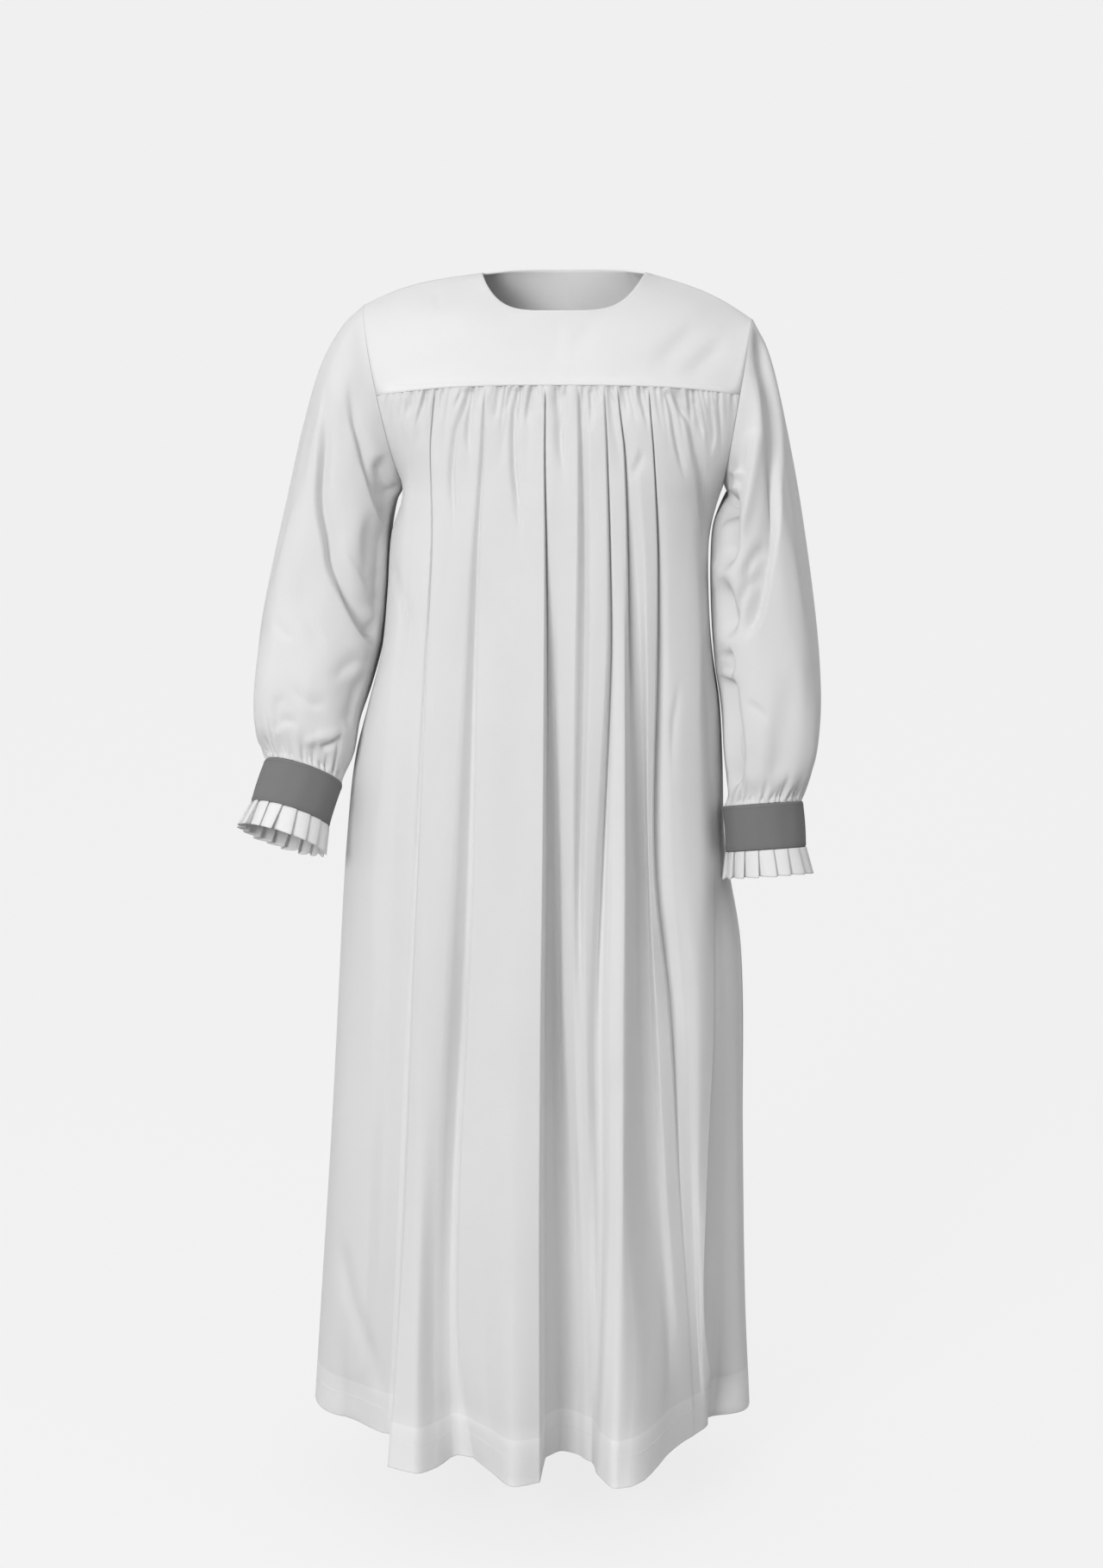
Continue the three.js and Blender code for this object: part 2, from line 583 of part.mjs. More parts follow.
// Knife pleats: each one climbs slowly over the one before and drops back at its edge.
function frill(side) {
  const top = 2 * SEAM_GAP + CUFF.depth;
  const climb = [0, 0.5, 1, 0.1];
  const columns = FRILL.pleats * climb.length;
  const rows = [0, 0.5, 1].map((down) => ringRow(
    cuffRing(side, top + down * FRILL.depth),
    columns,
    SINGLE,
    (i) => climb[i % climb.length] * FRILL.pleat_step * (0.6 + 0.4 * down) + FRILL.flare * down - 0.5,
  ));
  return wall(rows, true);
}

// ---------- the garment ----------

function cloth(name, geometry, color) {
  const material = new THREE.MeshStandardMaterial({ color, roughness: 0.9, metalness: 0 });
  const mesh = new THREE.Mesh(geometry, material);
  mesh.name = name;
  return mesh;
}

const rochet = new THREE.Group();
for (const face of ['front', 'back']) {
  rochet.add(cloth(`yoke_${face}`, yoke(face), COLOURS.doubled));
  rochet.add(cloth(`body_${face}`, bodyPanel(face), COLOURS.body));
}
for (const side of ['left', 'right']) {
  rochet.add(cloth(`sleeve_${side}`, sleeve(side), COLOURS.body));
  rochet.add(cloth(`cuff_${side}`, cuff(side), COLOURS.cuff));
  rochet.add(cloth(`frill_${side}`, frill(side), COLOURS.doubled));
}

export default rochet;
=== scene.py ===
"""A worn rochet of white cotton: a flat doubled yoke, a long body gathered under it, and full
sleeves gathered into grey bands with pleated frills.

Sizes are in millimetres and become metres only where a mesh is made. +X is the wearer's left
side, -Y is the front, +Z is up, and the origin is the middle of the neck hole.
"""

import math
from collections import namedtuple

import bpy
import numpy as np
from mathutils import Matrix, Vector


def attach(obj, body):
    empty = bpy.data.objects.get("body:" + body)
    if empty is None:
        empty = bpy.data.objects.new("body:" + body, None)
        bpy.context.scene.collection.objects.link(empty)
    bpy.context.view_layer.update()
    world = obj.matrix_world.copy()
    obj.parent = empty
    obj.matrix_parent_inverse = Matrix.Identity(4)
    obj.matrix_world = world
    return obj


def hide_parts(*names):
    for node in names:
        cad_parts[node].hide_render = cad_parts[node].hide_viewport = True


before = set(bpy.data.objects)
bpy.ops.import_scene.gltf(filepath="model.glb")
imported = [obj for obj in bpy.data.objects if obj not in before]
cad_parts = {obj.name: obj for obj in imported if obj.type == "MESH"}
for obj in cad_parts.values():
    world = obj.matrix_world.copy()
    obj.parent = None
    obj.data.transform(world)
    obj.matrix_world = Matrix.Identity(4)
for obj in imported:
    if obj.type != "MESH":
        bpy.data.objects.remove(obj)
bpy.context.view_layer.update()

MM = 0.001
FORWARD = {"front": -1, "back": 1}

# ---------- the garment's sizes, as the solids have them ----------

SEAM_GAP = 0.1
ARMHOLE_GAP = 0.15
SINGLE = 1.0                 # one layer of cloth
DOUBLE = 1.8                 # two layers: yoke, hem, cuff bands

HEM_Z = -1311
HEM_DEPTH = 50
UNDERARM_Z = -236

NECK_HALF_WIDTH = 90
NECK_REACH = {"front": 76, "back": 68}
NECK_Z = {"front": -48, "back": 3, "side": -4}
NECK_SQUARENESS = 2.4
NECK_FLATNESS = 4.5

SHOULDER_RISE = 7
CHEST_RISE = 15
YOKE_RISE = 5

Armhole = namedtuple("Armhole", "top_x top_z bottom_x bottom_z half_depth")
ARMHOLES = {
    "left": Armhole(-222, -38, -180, UNDERARM_Z, 70),
    "right": Armhole(208, -56, 178, UNDERARM_Z, 70),
}


def table(names, *rows):
    """Rows under named columns, as one array for each name."""
    return {name: np.array(column, float) for name, column in zip(names.split(), zip(*rows))}


BODY_SECTIONS = table(
    "z centre_x half_width front back squareness",
    (-128, 0, 226, 112, 104, 2.5),
    (UNDERARM_Z, -1, 179, 124, 117, 2.5),
    (-290, -15, 178, 129, 123, 2.5),
    (-355, -18, 180, 135, 130, 2.5),
    (-420, -19, 186, 141, 137, 2.4),
    (-480, -22, 198, 147, 144, 2.3),
    (-545, -28, 208, 152, 150, 2.2),
    (-640, -31, 215, 159, 159, 2.1),
    (-763, -26, 229, 168, 168, 2.05),
    (-980, -31, 237, 182, 184, 2),
    (-1177, -36, 247, 194, 197, 1.9),
    (HEM_Z, -37, 255, 202, 206, 1.85),
)

SEAM_Z = {"front": -128, "back": -146}
SEAM_DROP = {"front": 10, "back": 6}
SEAM_DROP_AT = 195           # half of the breadth over which a seam drops
SEAM_LEVELS_OVER = 80        # rows below a seam are level again this far down

# The lines of the folds, from the left side seam to the right. `x` is where a line hangs at each
# of FOLD_HEIGHTS, and the rest is how far the cloth stands out at all but the first: at the line
# of a soft Fold, and just before, at the bottom of and just after a sharp Edge. The cloth bends
# sharply at a Fold that is a corner.
FOLD_HEIGHTS = {
    "front": (-128, -150, -200, -300, -420, -640, -820, -1010, -1180, HEM_Z),
    "back": (-146, -175, -420, -700, -980, HEM_Z),
}
Fold = namedtuple("Fold", "name x out corner", defaults=[False])
# How far the sides of an Edge lie from its line at each height.
SHARP = (0.8, 0.9, 1.0, 1.3, 1.5, 1.5, 1.5, 1.5, 1.5, 1.5)
SOFTER = (0.8, 0.9, 1.0, 1.5, 2.5, 4, 5, 6, 6, 6)
SOFTEST = (0.8, 0.9, 1.0, 1.5, 2.5, 5, 6, 10, 13, 14)
Edge = namedtuple("Edge", "name x before bottom after half_width", defaults=[SHARP])
FOLDS = {
    "front": [
        Fold("side seam", None, (0, 0, 0, 0, 2, 2, 3, 3, 4)),
        Fold("flank ridge", (-172, -170, -168, -172, -181, -207, -210, -211, -218, -232),
             (0, 0, 0, 2, 3, 2, -2, -14, -34)),
        Fold("left hollow", (-150, -152, -158, -160, -166, -180, -187, -194, -200, -202),
             (0, -1, -2, -3, -4, -7, -13, -22, -31)),
        Edge("left edge", (-132, -135, -139, -137, -143, -153, -162, -170, -179, -188),
             (-1, -2, -3, -4, -5, -8, -14, -24, -33), (-4, -6, -7, -8, -8, -11, -16, -26, -34),
             (1, 2, 3, 5, 8, 12, 18, 30, 46), SOFTER),
        Fold("left panel", (-122, -124, -126, -125, -130, -140, -146, -148, -150, -150),
             (1, 2, 3, 5, 9, 15, 22, 34, 45)),
        Fold("left panel end", (-79, -81, -84, -92, -99, -111, -120, -128, -132, -127),
             (1, 1, 2, 3, 6, 10, 10, 10, 19)),
        Fold("second trough", (-77, -78, -79.5, -84, -87, -91, -99, -108, -110, -108),
             (-4, -6, -8, -12, -17, -22, -17, -14, -21)),
        Fold("wide panel edge", (-75, -76, -77, -82, -84, -87, -94, -103, -104, -90),
             (1, 2, 3, 5, 8, 9, 6, -3, -20), True),
        Fold("wide panel", (-58, -59, -60, -62, -63, -65, -69, -74, -72, -66),
             (1, 1, 2, 5, 9, 12, 13, 12, 11)),
        Fold("wide panel front", (-34, -34, -34, -34, -34, -35, -36, -37, -38, -38),
             (1, 1, 3, 6, 11, 18, 26, 35, 43)),
        Edge("middle edge", (-13, -13, -13, -11, -10, -10, -11, -11, -10, -9),
             (2, 2, 4, 8, 13, 19, 25, 30, 33), (-4, -6, -8, -10, -15, -18, -22, -26, -29),
             (0, 0, -2, -8, -16, -20, -25, -29, -32)),
        Fold("middle trough", (-5, -5, -5, -5, -4, 1, 4, 6, 7, 7),
             (0, 1, 0, -7, -18, -27, -36, -42, -46)),
        Fold("middle trough end", (2, 2, 2, 2, 3, 8, 10, 20, 24, 27),
             (0, 1, 1, 0, -7, -16, -26, -33, -34)),
        Fold("third line", (21, 21.5, 22.5, 23, 21.5, 20, 22, 28, 33, 36),
             (2, 3, 4, 5, 2, -6, -16, -23, -20), True),
        Fold("third trough", (22.5, 23.5, 25.5, 28, 29, 26, 28, 33, 37, 39),
             (-4, -6, -7, -7, -7, -6, -15, -20, -16)),
        Fold("centre ridge", (36, 36, 37, 38, 38, 34, 35, 39, 41, 43),
             (1, 2, 2, 4, 4, -2, -12, -16, -10)),
        Fold("fourth trough start", (49, 49.5, 52, 54.5, 54.5, 44, 39, 44, 46, 47),
             (1, 2, 3, 4, 3, -4, -12, -12, 4)),
        Fold("fourth trough", (50.5, 51, 53.5, 57, 59, 51, 46, 49, 49.5, 48.5),
             (-4, -6, -8, -9, -11, -13, -15, -10, 14)),
        Fold("narrow ridge edge", (52, 52.5, 55, 59.5, 63, 61, 60, 61, 57, 51),
             (2, 3, 5, 9, 13, 16, 20, 30, 24), True),
        Fold("narrow ridge", (58, 59, 63, 70, 74, 76, 76, 77, 76, 73),
             (2, 3, 5, 11, 18, 24, 33, 48, 66)),
        Edge("narrow ridge end", (64, 66, 72, 76, 78, 83, 85, 91, 107, 103),
             (2, 3, 5, 9, 16, 22, 30, 38, 68), (-4, -6, -8, -10, -5, 4, 6, 18, 58),
             (0, -2, -4, -8, -12, -14, -13, 2, 30), SOFTEST),
        Fold("fifth trough", (68, 70, 77, 84, 90, 98, 104, 112, 126, 128),
             (1, 0, -3, -7, -14, -17, -16, -8, 4)),
        Fold("second ridge", (82, 84, 88, 95, 98, 101, 112, 124, 138, 144),
             (2, 2, 3, 4, 3, 0, -3, -6, -16)),
        Edge("sixth line", (97, 98.5, 103, 108, 108.5, 107, 126, 138, 150, 157),
             (2, 2, 3, 3, 2, 0, -4, -7, -24), (-4, -6, -8, -9, -10, -9, -6, -8, -26),
             (0, 1, -2, -6, -9, -8, -5, -8, -27)),
        Fold("sixth trough", (103, 105, 112, 119, 121, 126, 141, 150, 158, 164),
             (1, 1, 1, 0, -1, -2, -1, -6, -31)),
        Fold("right panel", (128, 131, 135, 142, 148, 154, 160, 160, 162, 172),
             (1, 2, 4, 6, 8, 9, 8, 4, -36)),
        Edge("right edge", (150, 152, 156, 155, 158, 169, 173, 168, 168, 190),
             (0, 0, 1, 1, 2, 4, 8, 9, -38), (0, 0, 0, 0, 0, 1, -2, -5, -38),
             (0, 0, 0, 0, 0, 1, -3, -7, -38)),
        Fold("flank hollow", (168, 166, 166, 159.5, 163, 176, 186, 188, 192, 204),
             (0, 0, 0, 0, 0, -1, -6, -12, -32)),
        Fold("side seam", None, (0, 0, 0, 0, 0, 0, 2, 2, 2)),
    ],
    "back": [
        Fold("side seam", None, (0, 0, 2, 3, 4)),
        Fold("first ridge", (-164, -166, -172, -205, -221, -236), (0, 3, 7, 12, 16)),
        Edge("first line", (-140, -142, -150, -173, -187, -201), (1, 1, 1, -2, -4),
             (-6, -8, -10, -16, -22), (1, -2, -8, -17, -24)),
        Fold("second ridge", (-112, -115, -122, -138, -150, -158), (2, 5, 12, 22, 33)),
        Edge("second line", (-88, -91, -97, -105, -112, -112), (2, 4, 6, 8, 10),
             (-6, -9, -14, -22, -29), (0, -5, -13, -23, -31)),
        Fold("third ridge", (-58, -61, -66, -70, -74, -68), (2, 5, 12, 23, 35)),
        Edge("third line", (-35, -36, -38, -39, -37, -35), (0, -4, -11, -20, -31),
             (-6, -9, -15, -25, -36), (2, 4, 6, 7, 8)),
        Fold("middle ridge", (-6, -7, -8, -5, -1, 1), (2, 5, 14, 27, 41)),
        Edge("fourth line", (22, 22, 21, 22, 27, 30), (2, 4, 8, 10, 12),
             (-6, -10, -16, -25, -36), (0, -6, -15, -26, -38)),
        Fold("fourth ridge", (51, 51, 50, 52, 59, 66), (2, 5, 12, 23, 36)),
        Fold("fifth trough", (76, 76, 77, 81, 87, 97), (-5, -8, -14, -23, -32)),
        Fold("fifth ridge", (104, 105, 107, 116, 121, 131), (2, 5, 11, 21, 30)),
        Edge("sixth line", (132, 132, 130, 141, 147, 155), (1, 2, 2, 2, 4),
             (-6, -8, -10, -15, -20), (0, -4, -9, -16, -23)),
        Fold("sixth ridge", (158, 155, 150, 170, 177, 189), (0, 3, 6, 10, 14)),
        Fold("side seam", None, (0, 0, 0, 2, 2)),
    ],
}
FOLDS_OPEN_OVER = 20         # a fold is fully open this far below its seam
# By height, how many times as far as stated the folds stand out.
FOLDS_DEEPEN = ((-128, -250, -420, -640, -900, -1100), (1, 1.3, 1.4, 1.35, 1.15, 1))

# A sleeve's rings, from armhole to cuff band: the outermost and innermost points, the middle and
# half of its depth from front to back, its forward tilt, and how far its soft folds stand out.
RING_COLUMNS = "outer_x outer_z inner_x inner_z mid_y half_depth tilt crease"
SLEEVES = {
    "left": table(
        RING_COLUMNS,
        (-222 - ARMHOLE_GAP, -38, -180 - ARMHOLE_GAP, UNDERARM_Z, 0, 70, 0, 0),
        (-246, -62, -184, -245, -2, 76, 0, 1),
        (-270, -108, -190, -256, -3, 82, 0, 3),
        (-290, -172, -195, -282, -4, 85, 0, 5),
        (-309, -250, -197, -318, -6, 86, 0, 6),
        (-327, -324, -200, -364, -10, 84, 4, 6),
        (-339, -384, -206, -411, -18, 82, 10, 5),
        (-343, -432, -215.5, -450, -32, 79, 15, 4),
        (-343, -478, -227, -490, -50, 73, 19, 3),
        (-341, -512, -232, -526, -64, 62, 22, 2),
        (-334, -532, -240, -551, -72, 50, 24, 0),
        (-327, -542, -244, -565, -77, 43, 24, 0),
    ),
    "right": table(
        RING_COLUMNS,
        (208 + ARMHOLE_GAP, -56, 178 + ARMHOLE_GAP, UNDERARM_Z, 0, 70, 0, 0),
        (226, -92, 181, -246, -2, 76, 0, 1),
        (240, -145, 174.5, -257, -3, 82, 0, 3),
        (254, -217, 165.5, -284, -4, 84, 0, 5),
        (266, -287, 163.7, -325, -6, 84, 0, 6),
        (278, -365, 165.5, -382, -10, 81, 2, 6),
        (286, -428, 170, -434, -16, 78, 4, 5),
        (289, -480, 177.5, -484, -26, 73, 6, 4),
        (286, -526, 180.5, -530, -38, 64, 8, 3),
        (280, -553, 184, -559, -45, 55, 9, 2),
        (273, -572, 186, -578, -48, 47, 9, 0),
        (268, -584, 182, -591, -50, 43, 9.5, 0),
    ),
}
SLEEVE_SOFT_FOLDS = 5

CUFF_DEPTH = 51
CUFF_FLARE = 1.5
CUFF_LEAN = {"left": -13, "right": 4}
FRILL_DEPTH = 30
PLEATS = 17
FRILL_FLARE = 2.5

# ---------- gathers and creases ----------

# Families of gathers under a yoke seam: how many, how deep, how far down they reach, how wide
# one is at the seam and at its end, and how far down it opens.
Gathers = namedtuple("Gathers", "count depth reach width_top width_end opens_over seed")
GATHERS = {
    "front": [
        Gathers(46, 4.0, 32, 1.5, 3.2, 3, 11),
        Gathers(26, 5.2, 62, 2.0, 5.5, 6, 23),
    ],
    "back": [
        Gathers(46, 4.0, 32, 1.5, 3.2, 3, 47),
        Gathers(26, 5.2, 62, 2.0, 5.5, 6, 53),
        Gathers(14, 4.5, 95, 1.6, 4.5, 12, 61),
    ],
}
GATHERS_SPAN = 190           # they fill a seam this far to both sides of its middle
GATHERS_SLANT = 0.16         # how fast the outermost of them spread as they go down

# A crease is a line of (x, z) points, read from the top down. It is `depth` deep, or stands out
# where depth is negative, and fades over `left` to its -X side and `right` to its +X side. Its
# ends fade over the shares in `ends`.
Crease = namedtuple("Crease", "line depth left right ends", defaults=[(0.08, 0.5)])
BODY_CREASES = {
    "front": [
        Crease([(-155, -134), (-160, -148), (-167, -165)], 3.4, 4.5, 1.8, (0.2, 0.5)),
        Crease([(-144, -133), (-149, -152), (-156, -174)], 4, 1.6, 4, (0.1, 0.5)),
        Crease([(-123, -132), (-126, -150), (-127, -168)], 3.4, 3, 2, (0.1, 0.5)),
        Crease([(-101, -131), (-114, -154)], 2.6, 1.6, 4, (0.2, 0.5)),
        Crease([(-94, -130), (-100, -155), (-107, -176), (-110, -193), (-112, -213),
                (-113, -232), (-111, -255), (-109, -292)], 7, 5, 1.5, (0.04, 0.4)),
        Crease([(-91, -130), (-93, -145), (-95, -160), (-96, -182), (-94, -202)], 4.4, 3.4, 3,
               (0.1, 0.4)),
        Crease([(-50, -131), (-53, -145), (-56, -163)], 4.4, 3.4, 1.5, (0.1, 0.5)),
        Crease([(-42, -130), (-44, -144), (-46, -158), (-46, -182), (-45, -213), (-43, -232),
                (-40, -260), (-37, -292)], 7.5, 4, 1.5, (0.04, 0.4)),
        Crease([(-29, -130), (-30, -145), (-32, -156), (-34, -175)], 3.8, 3, 2.4, (0.1, 0.5)),
        Crease([(8, -130), (8, -159), (4, -176), (5, -198), (10, -228)], 5.5, 5, 2, (0.1, 0.4)),
        Crease([(-2, -130), (-1, -156)], 3, 2, 3, (0.1, 0.5)),
        Crease([(34, -131), (36, -152), (35, -178)], 4.2, 2, 4, (0.1, 0.5)),
        Crease([(42, -130), (47, -146)], 3, 2, 2, (0.1, 0.5)),
        Crease([(56, -130), (66, -153)], 3.6, 2, 2, (0.1, 0.4)),
        Crease([(70, -130), (75, -163)], 3.6, 1.6, 4, (0.1, 0.5)),
        Crease([(86, -131), (93, -159), (98, -176)], 4.6, 1.6, 4.5, (0.1, 0.5)),
        Crease([(91, -196), (86, -212), (76, -225)], 3.2, 3, 5, (0.3, 0.3)),
        Crease([(114, -133), (120, -155), (125, -185), (130, -206), (139, -234)], 6.5, 1.6, 5,
               (0.06, 0.4)),
        Crease([(120, -133), (129, -152), (139, -170), (145, -201), (150, -228), (155, -300)], 8,
               1.8, 10, (0.08, 0.4)),
        Crease([(138, -134), (143, -172)], 3.4, 1.6, 3, (0.1, 0.5)),
        Crease([(143, -140), (150, -164), (157, -186)], 4, 4, 1.6, (0.2, 0.4)),
        Crease([(160, -142), (166, -178), (161, -208)], 5, 7, 2.5, (0.3, 0.4)),
        Crease([(112, -690), (122, -770), (140, -850)], 6, 9, 18, (0.35, 0.4)),
        Crease([(-190, -318), (-176, -350), (-161, -398)], 3.2, 1.6, 6, (0.2, 0.1)),
        Crease([(133, -440), (128, -470), (124, -500), (124, -540)], 2.6, 1.6, 6, (0.3, 0.4)),
        Crease([(74, -850), (58, -890), (38, -950)], 3, 9, 14, (0.3, 0.5)),
        Crease([(-250, -1080), (-238, -1150), (-214, -1215), (-192, -1262)], 5, 10, 7,
               (0.3, 0.3)),
    ],
    "back": [
        Crease([(-108, -150), (-114, -190), (-116, -230), (-112, -290)], 6.5, 5, 1.6,
               (0.06, 0.4)),
        Crease([(-50, -149), (-52, -190), (-48, -240)], 5.5, 1.6, 4, (0.06, 0.4)),
        Crease([(6, -149), (4, -185), (8, -230), (6, -290)], 6.5, 4, 1.6, (0.06, 0.4)),
        Crease([(62, -149), (66, -195), (64, -250)], 5.5, 1.6, 5, (0.06, 0.4)),
        Crease([(112, -151), (122, -200), (134, -260)], 6.5, 1.6, 6, (0.06, 0.4)),
        Crease([(-150, -152), (-160, -190), (-166, -230)], 5, 5, 1.8, (0.1, 0.4)),
        Crease([(-134, -300), (-118, -390)], 4, 6, 9, (0.4, 0.5)),
        Crease([(120, -740), (132, -830), (150, -890)], 5, 16, 11, (0.35, 0.4)),
    ],
}
YOKE_FOLDS = {
    "front": [
        Crease([(157, -56), (126, -85), (95, -116)], 2.6, 9, 13, (0.4, 0.4)),
        Crease([(181, -74), (158, -99), (133, -122)], 2.4, 8, 10, (0.4, 0.3)),
        Crease([(40, -53), (25, -78), (11, -104)], 1.5, 8, 10, (0.3, 0.4)),
        Crease([(-135, -52), (-124, -85), (-113, -113)], 1.6, 9, 12, (0.3, 0.4)),
        Crease([(-141, -22), (-135, -38), (-128, -54)], 1.4, 4, 6, (0.3, 0.4)),
        Crease([(15, -108), (16, -124)], 1.2, 3, 3, (0.5, 0.1)),
        Crease([(24, -112), (25, -125)], 1.2, 3, 3, (0.5, 0.1)),
        Crease([(62, -112), (64, -126)], 1.2, 4, 3, (0.5, 0.1)),
        Crease([(-52, -112), (-54, -126)], 1, 4, 3, (0.5, 0.1)),
    ],
    "back": [
        Crease([(-150, -62), (-122, -96), (-96, -134)], 2.4, 9, 13, (0.4, 0.4)),
        Crease([(146, -60), (124, -92), (104, -130)], 2.4, 13, 9, (0.4, 0.4)),
        Crease([(10, -20), (4, -70), (2, -120)], 1.4, 9, 9, (0.4, 0.4)),
    ],
}
SLEEVE_FOLDS = {
    ("left", "front"): [
        Crease([(-232, -112), (-226, -160), (-219, -190), (-206, -237), (-194, -279)], 8, 2.2, 9,
               (0.45, 0.05)),
        Crease([(-256, -120), (-260, -180), (-264, -245), (-256, -293), (-251, -326),
                (-233, -363), (-215, -398), (-202, -410)], 15, 2.2, 13, (0.35, 0.03)),
        Crease([(-198, -200), (-190, -240), (-188, -262)], 9, 9, 6, (0.3, 0.3)),
        Crease([(-212, -262), (-205, -300), (-200, -352), (-200, -385)], 9, 14, 12, (0.35, 0.2)),
        Crease([(-247, -457), (-238, -438), (-214, -424)], 3.5, 6, 10, (0.4, 0.3)),
        Crease([(-282, -519), (-255, -508), (-226, -513)], -4, 6, 6, (0.3, 0.3)),
        Crease([(-262, -522), (-248, -516), (-236, -505)], 6, 4, 3, (0.2, 0.3)),
        Crease([(-306, -500), (-308, -474), (-294, -462)], 3, 7, 6, (0.4, 0.4)),
        Crease([(-224, -440), (-228, -478), (-236, -508)], 6, 12, 10, (0.3, 0.3)),
        Crease([(-236, -300), (-222, -322), (-205, -352)], 3, 3, 8, (0.4, 0.2)),
        Crease([(-286, -330), (-276, -372), (-252, -420)], 2.6, 9, 3, (0.4, 0.4)),
        Crease([(-318, -380), (-302, -398), (-284, -402)], 2.4, 3, 7, (0.4, 0.4)),
        Crease([(-292, -448), (-276, -470), (-250, -476)], 3.2, 4, 8, (0.4, 0.3)),
        Crease([(-316, -505), (-300, -492), (-280, -494)], 3, 4, 6, (0.3, 0.4)),
    ],
    ("left", "back"): [
        Crease([(-262, -120), (-268, -204), (-262, -290), (-240, -380)], 11, 12, 2.5,
               (0.3, 0.2)),
        Crease([(-238, -100), (-230, -180), (-214, -250)], 6, 8, 2.5, (0.3, 0.3)),
        Crease([(-292, -330), (-300, -410), (-296, -480)], 5, 14, 6, (0.4, 0.4)),
    ],
    ("right", "front"): [
        Crease([(204, -62), (218, -84), (230, -126), (237, -167), (239, -209), (238, -263),
                (233, -297), (228, -322), (218, -374), (197, -408)], 16, 15, 2, (0.05, 0.12)),
        Crease([(213, -169), (212, -200), (206, -240), (199, -272), (187, -307)], -7, 7, 7,
               (0.15, 0.4)),
        Crease([(170, -229), (179, -222), (188, -221), (205, -227)], -4, 4, 4, (0.1, 0.4)),
        Crease([(176, -240), (180, -262), (181, -290), (176, -330)], 36, 10, 9, (0.12, 0.35)),
        Crease([(226, -298), (209, -316), (196, -349)], 6, 6, 5, (0.2, 0.4)),
        Crease([(222, -330), (205, -342), (192, -367), (184, -394)], 6, 5, 7, (0.2, 0.3)),
        Crease([(176, -330), (180, -372), (184, -405)], 18, 9, 9, (0.4, 0.3)),
        Crease([(184, -413), (187, -430), (181, -447)], 12, 9, 2.5, (0.2, 0.3)),
        Crease([(182, -440), (183, -470), (189, -508), (190, -540), (184, -574)], 26, 12, 8,
               (0.15, 0.15)),
        Crease([(202, -468), (219, -476), (230, -492)], 2.6, 6, 3, (0.3, 0.4)),
        Crease([(252, -420), (246, -500), (240, -560)], 2.5, 16, 12, (0.4, 0.2)),
    ],
    ("right", "back"): [
        Crease([(214, -80), (228, -160), (230, -260), (220, -370)], 11, 2.5, 12, (0.2, 0.3)),
        Crease([(196, -240), (204, -320), (208, -400)], 8, 8, 3, (0.3, 0.4)),
        Crease([(256, -400), (250, -490), (240, -560)], 5, 14, 6, (0.4, 0.3)),
    ],
}


# ---------- small tools ----------

def hermite(t, a, b, slope_a, slope_b):
    """A smooth way from a to b with the given slopes at its ends."""
    return ((1 + 2 * t) * (1 - t) ** 2 * a + t * (1 - t) ** 2 * slope_a
            + t * t * (3 - 2 * t) * b - t * t * (1 - t) * slope_b)


def curve(knots, values, at):
    """A smooth curve through values at knots, which increase; it stays level past its ends."""
    h, v = np.asarray(knots, float), np.asarray(values, float)
    at = np.clip(np.asarray(at, float), h[0], h[-1])
    slope = np.concatenate((
        [(v[1] - v[0]) / (h[1] - h[0])],
        (v[2:] - v[:-2]) / (h[2:] - h[:-2]),
        [(v[-1] - v[-2]) / (h[-1] - h[-2])],
    ))
    i = np.clip(np.searchsorted(h, at, side="right") - 1, 0, len(h) - 2)
    span = h[i + 1] - h[i]
    t = (at - h[i]) / span
    return hermite(t, v[i], v[i + 1], span * slope[i], span * slope[i + 1])


def down(heights, values, z):
    """The same, for heights that run downwards."""
    return curve(-np.asarray(heights, float), values, -np.asarray(z, float))


def clamp01(t):
    return np.clip(t, 0, 1)


def ease(t):
    t = clamp01(t)
    return t * t * (3 - 2 * t)


def mix(a, b, t):
    return a + (b - a) * t


def stack(x, y, z):
    return np.stack(np.broadcast_arrays(x, y, z), axis=-1).astype(float)


def unit(v):
    return v / np.maximum(np.linalg.norm(v, axis=-1, keepdims=True), 1e-9)


def outward(grid, ring, flip):
    """Unit normals of a grid of points whose rows run down the cloth."""
    if ring:
        across = np.roll(grid, -1, 1) - np.roll(grid, 1, 1)
    else:
        across = np.gradient(grid, axis=1)
    normal = unit(np.cross(np.gradient(grid, axis=0), across))
    return -normal if flip else normal


def crease_depth(x, z, crease):
    """How far a crease lowers the cloth at x, z."""
    knots = np.arange(len(crease.line))
    fine = np.linspace(0, knots[-1], 8 * knots[-1] + 1)
    line = np.stack([curve(knots, column, fine) for column in zip(*crease.line)], axis=1)
    steps = np.diff(line, axis=0)
    lengths = np.hypot(*steps.T)
    total, done = lengths.sum(), 0
    nearest = np.full(x.shape, np.inf)
    side, share = np.zeros(x.shape), np.zeros(x.shape)
    for (ax, az), (dx, dz), length in zip(line, steps, lengths):
        t = clamp01(((x - ax) * dx + (z - az) * dz) / length ** 2)
        off_x, off_z = x - ax - t * dx, z - az - t * dz
        distance = np.hypot(off_x, off_z)
        closer = distance < nearest
        nearest = np.where(closer, distance, nearest)
        side = np.where(closer, off_z * dx - off_x * dz, side)
        share = np.where(closer, (done + t * length) / total, share)
        done += length
    width = np.where(side < 0, crease.left, crease.right)
    start, end = crease.ends
    fade = ease(share / start) * ease((1 - share) / end)
    return crease.depth * fade * np.exp(-(nearest / width) ** 2)


Uneven = namedtuple("Uneven", "cells_across cells_along depth seed")


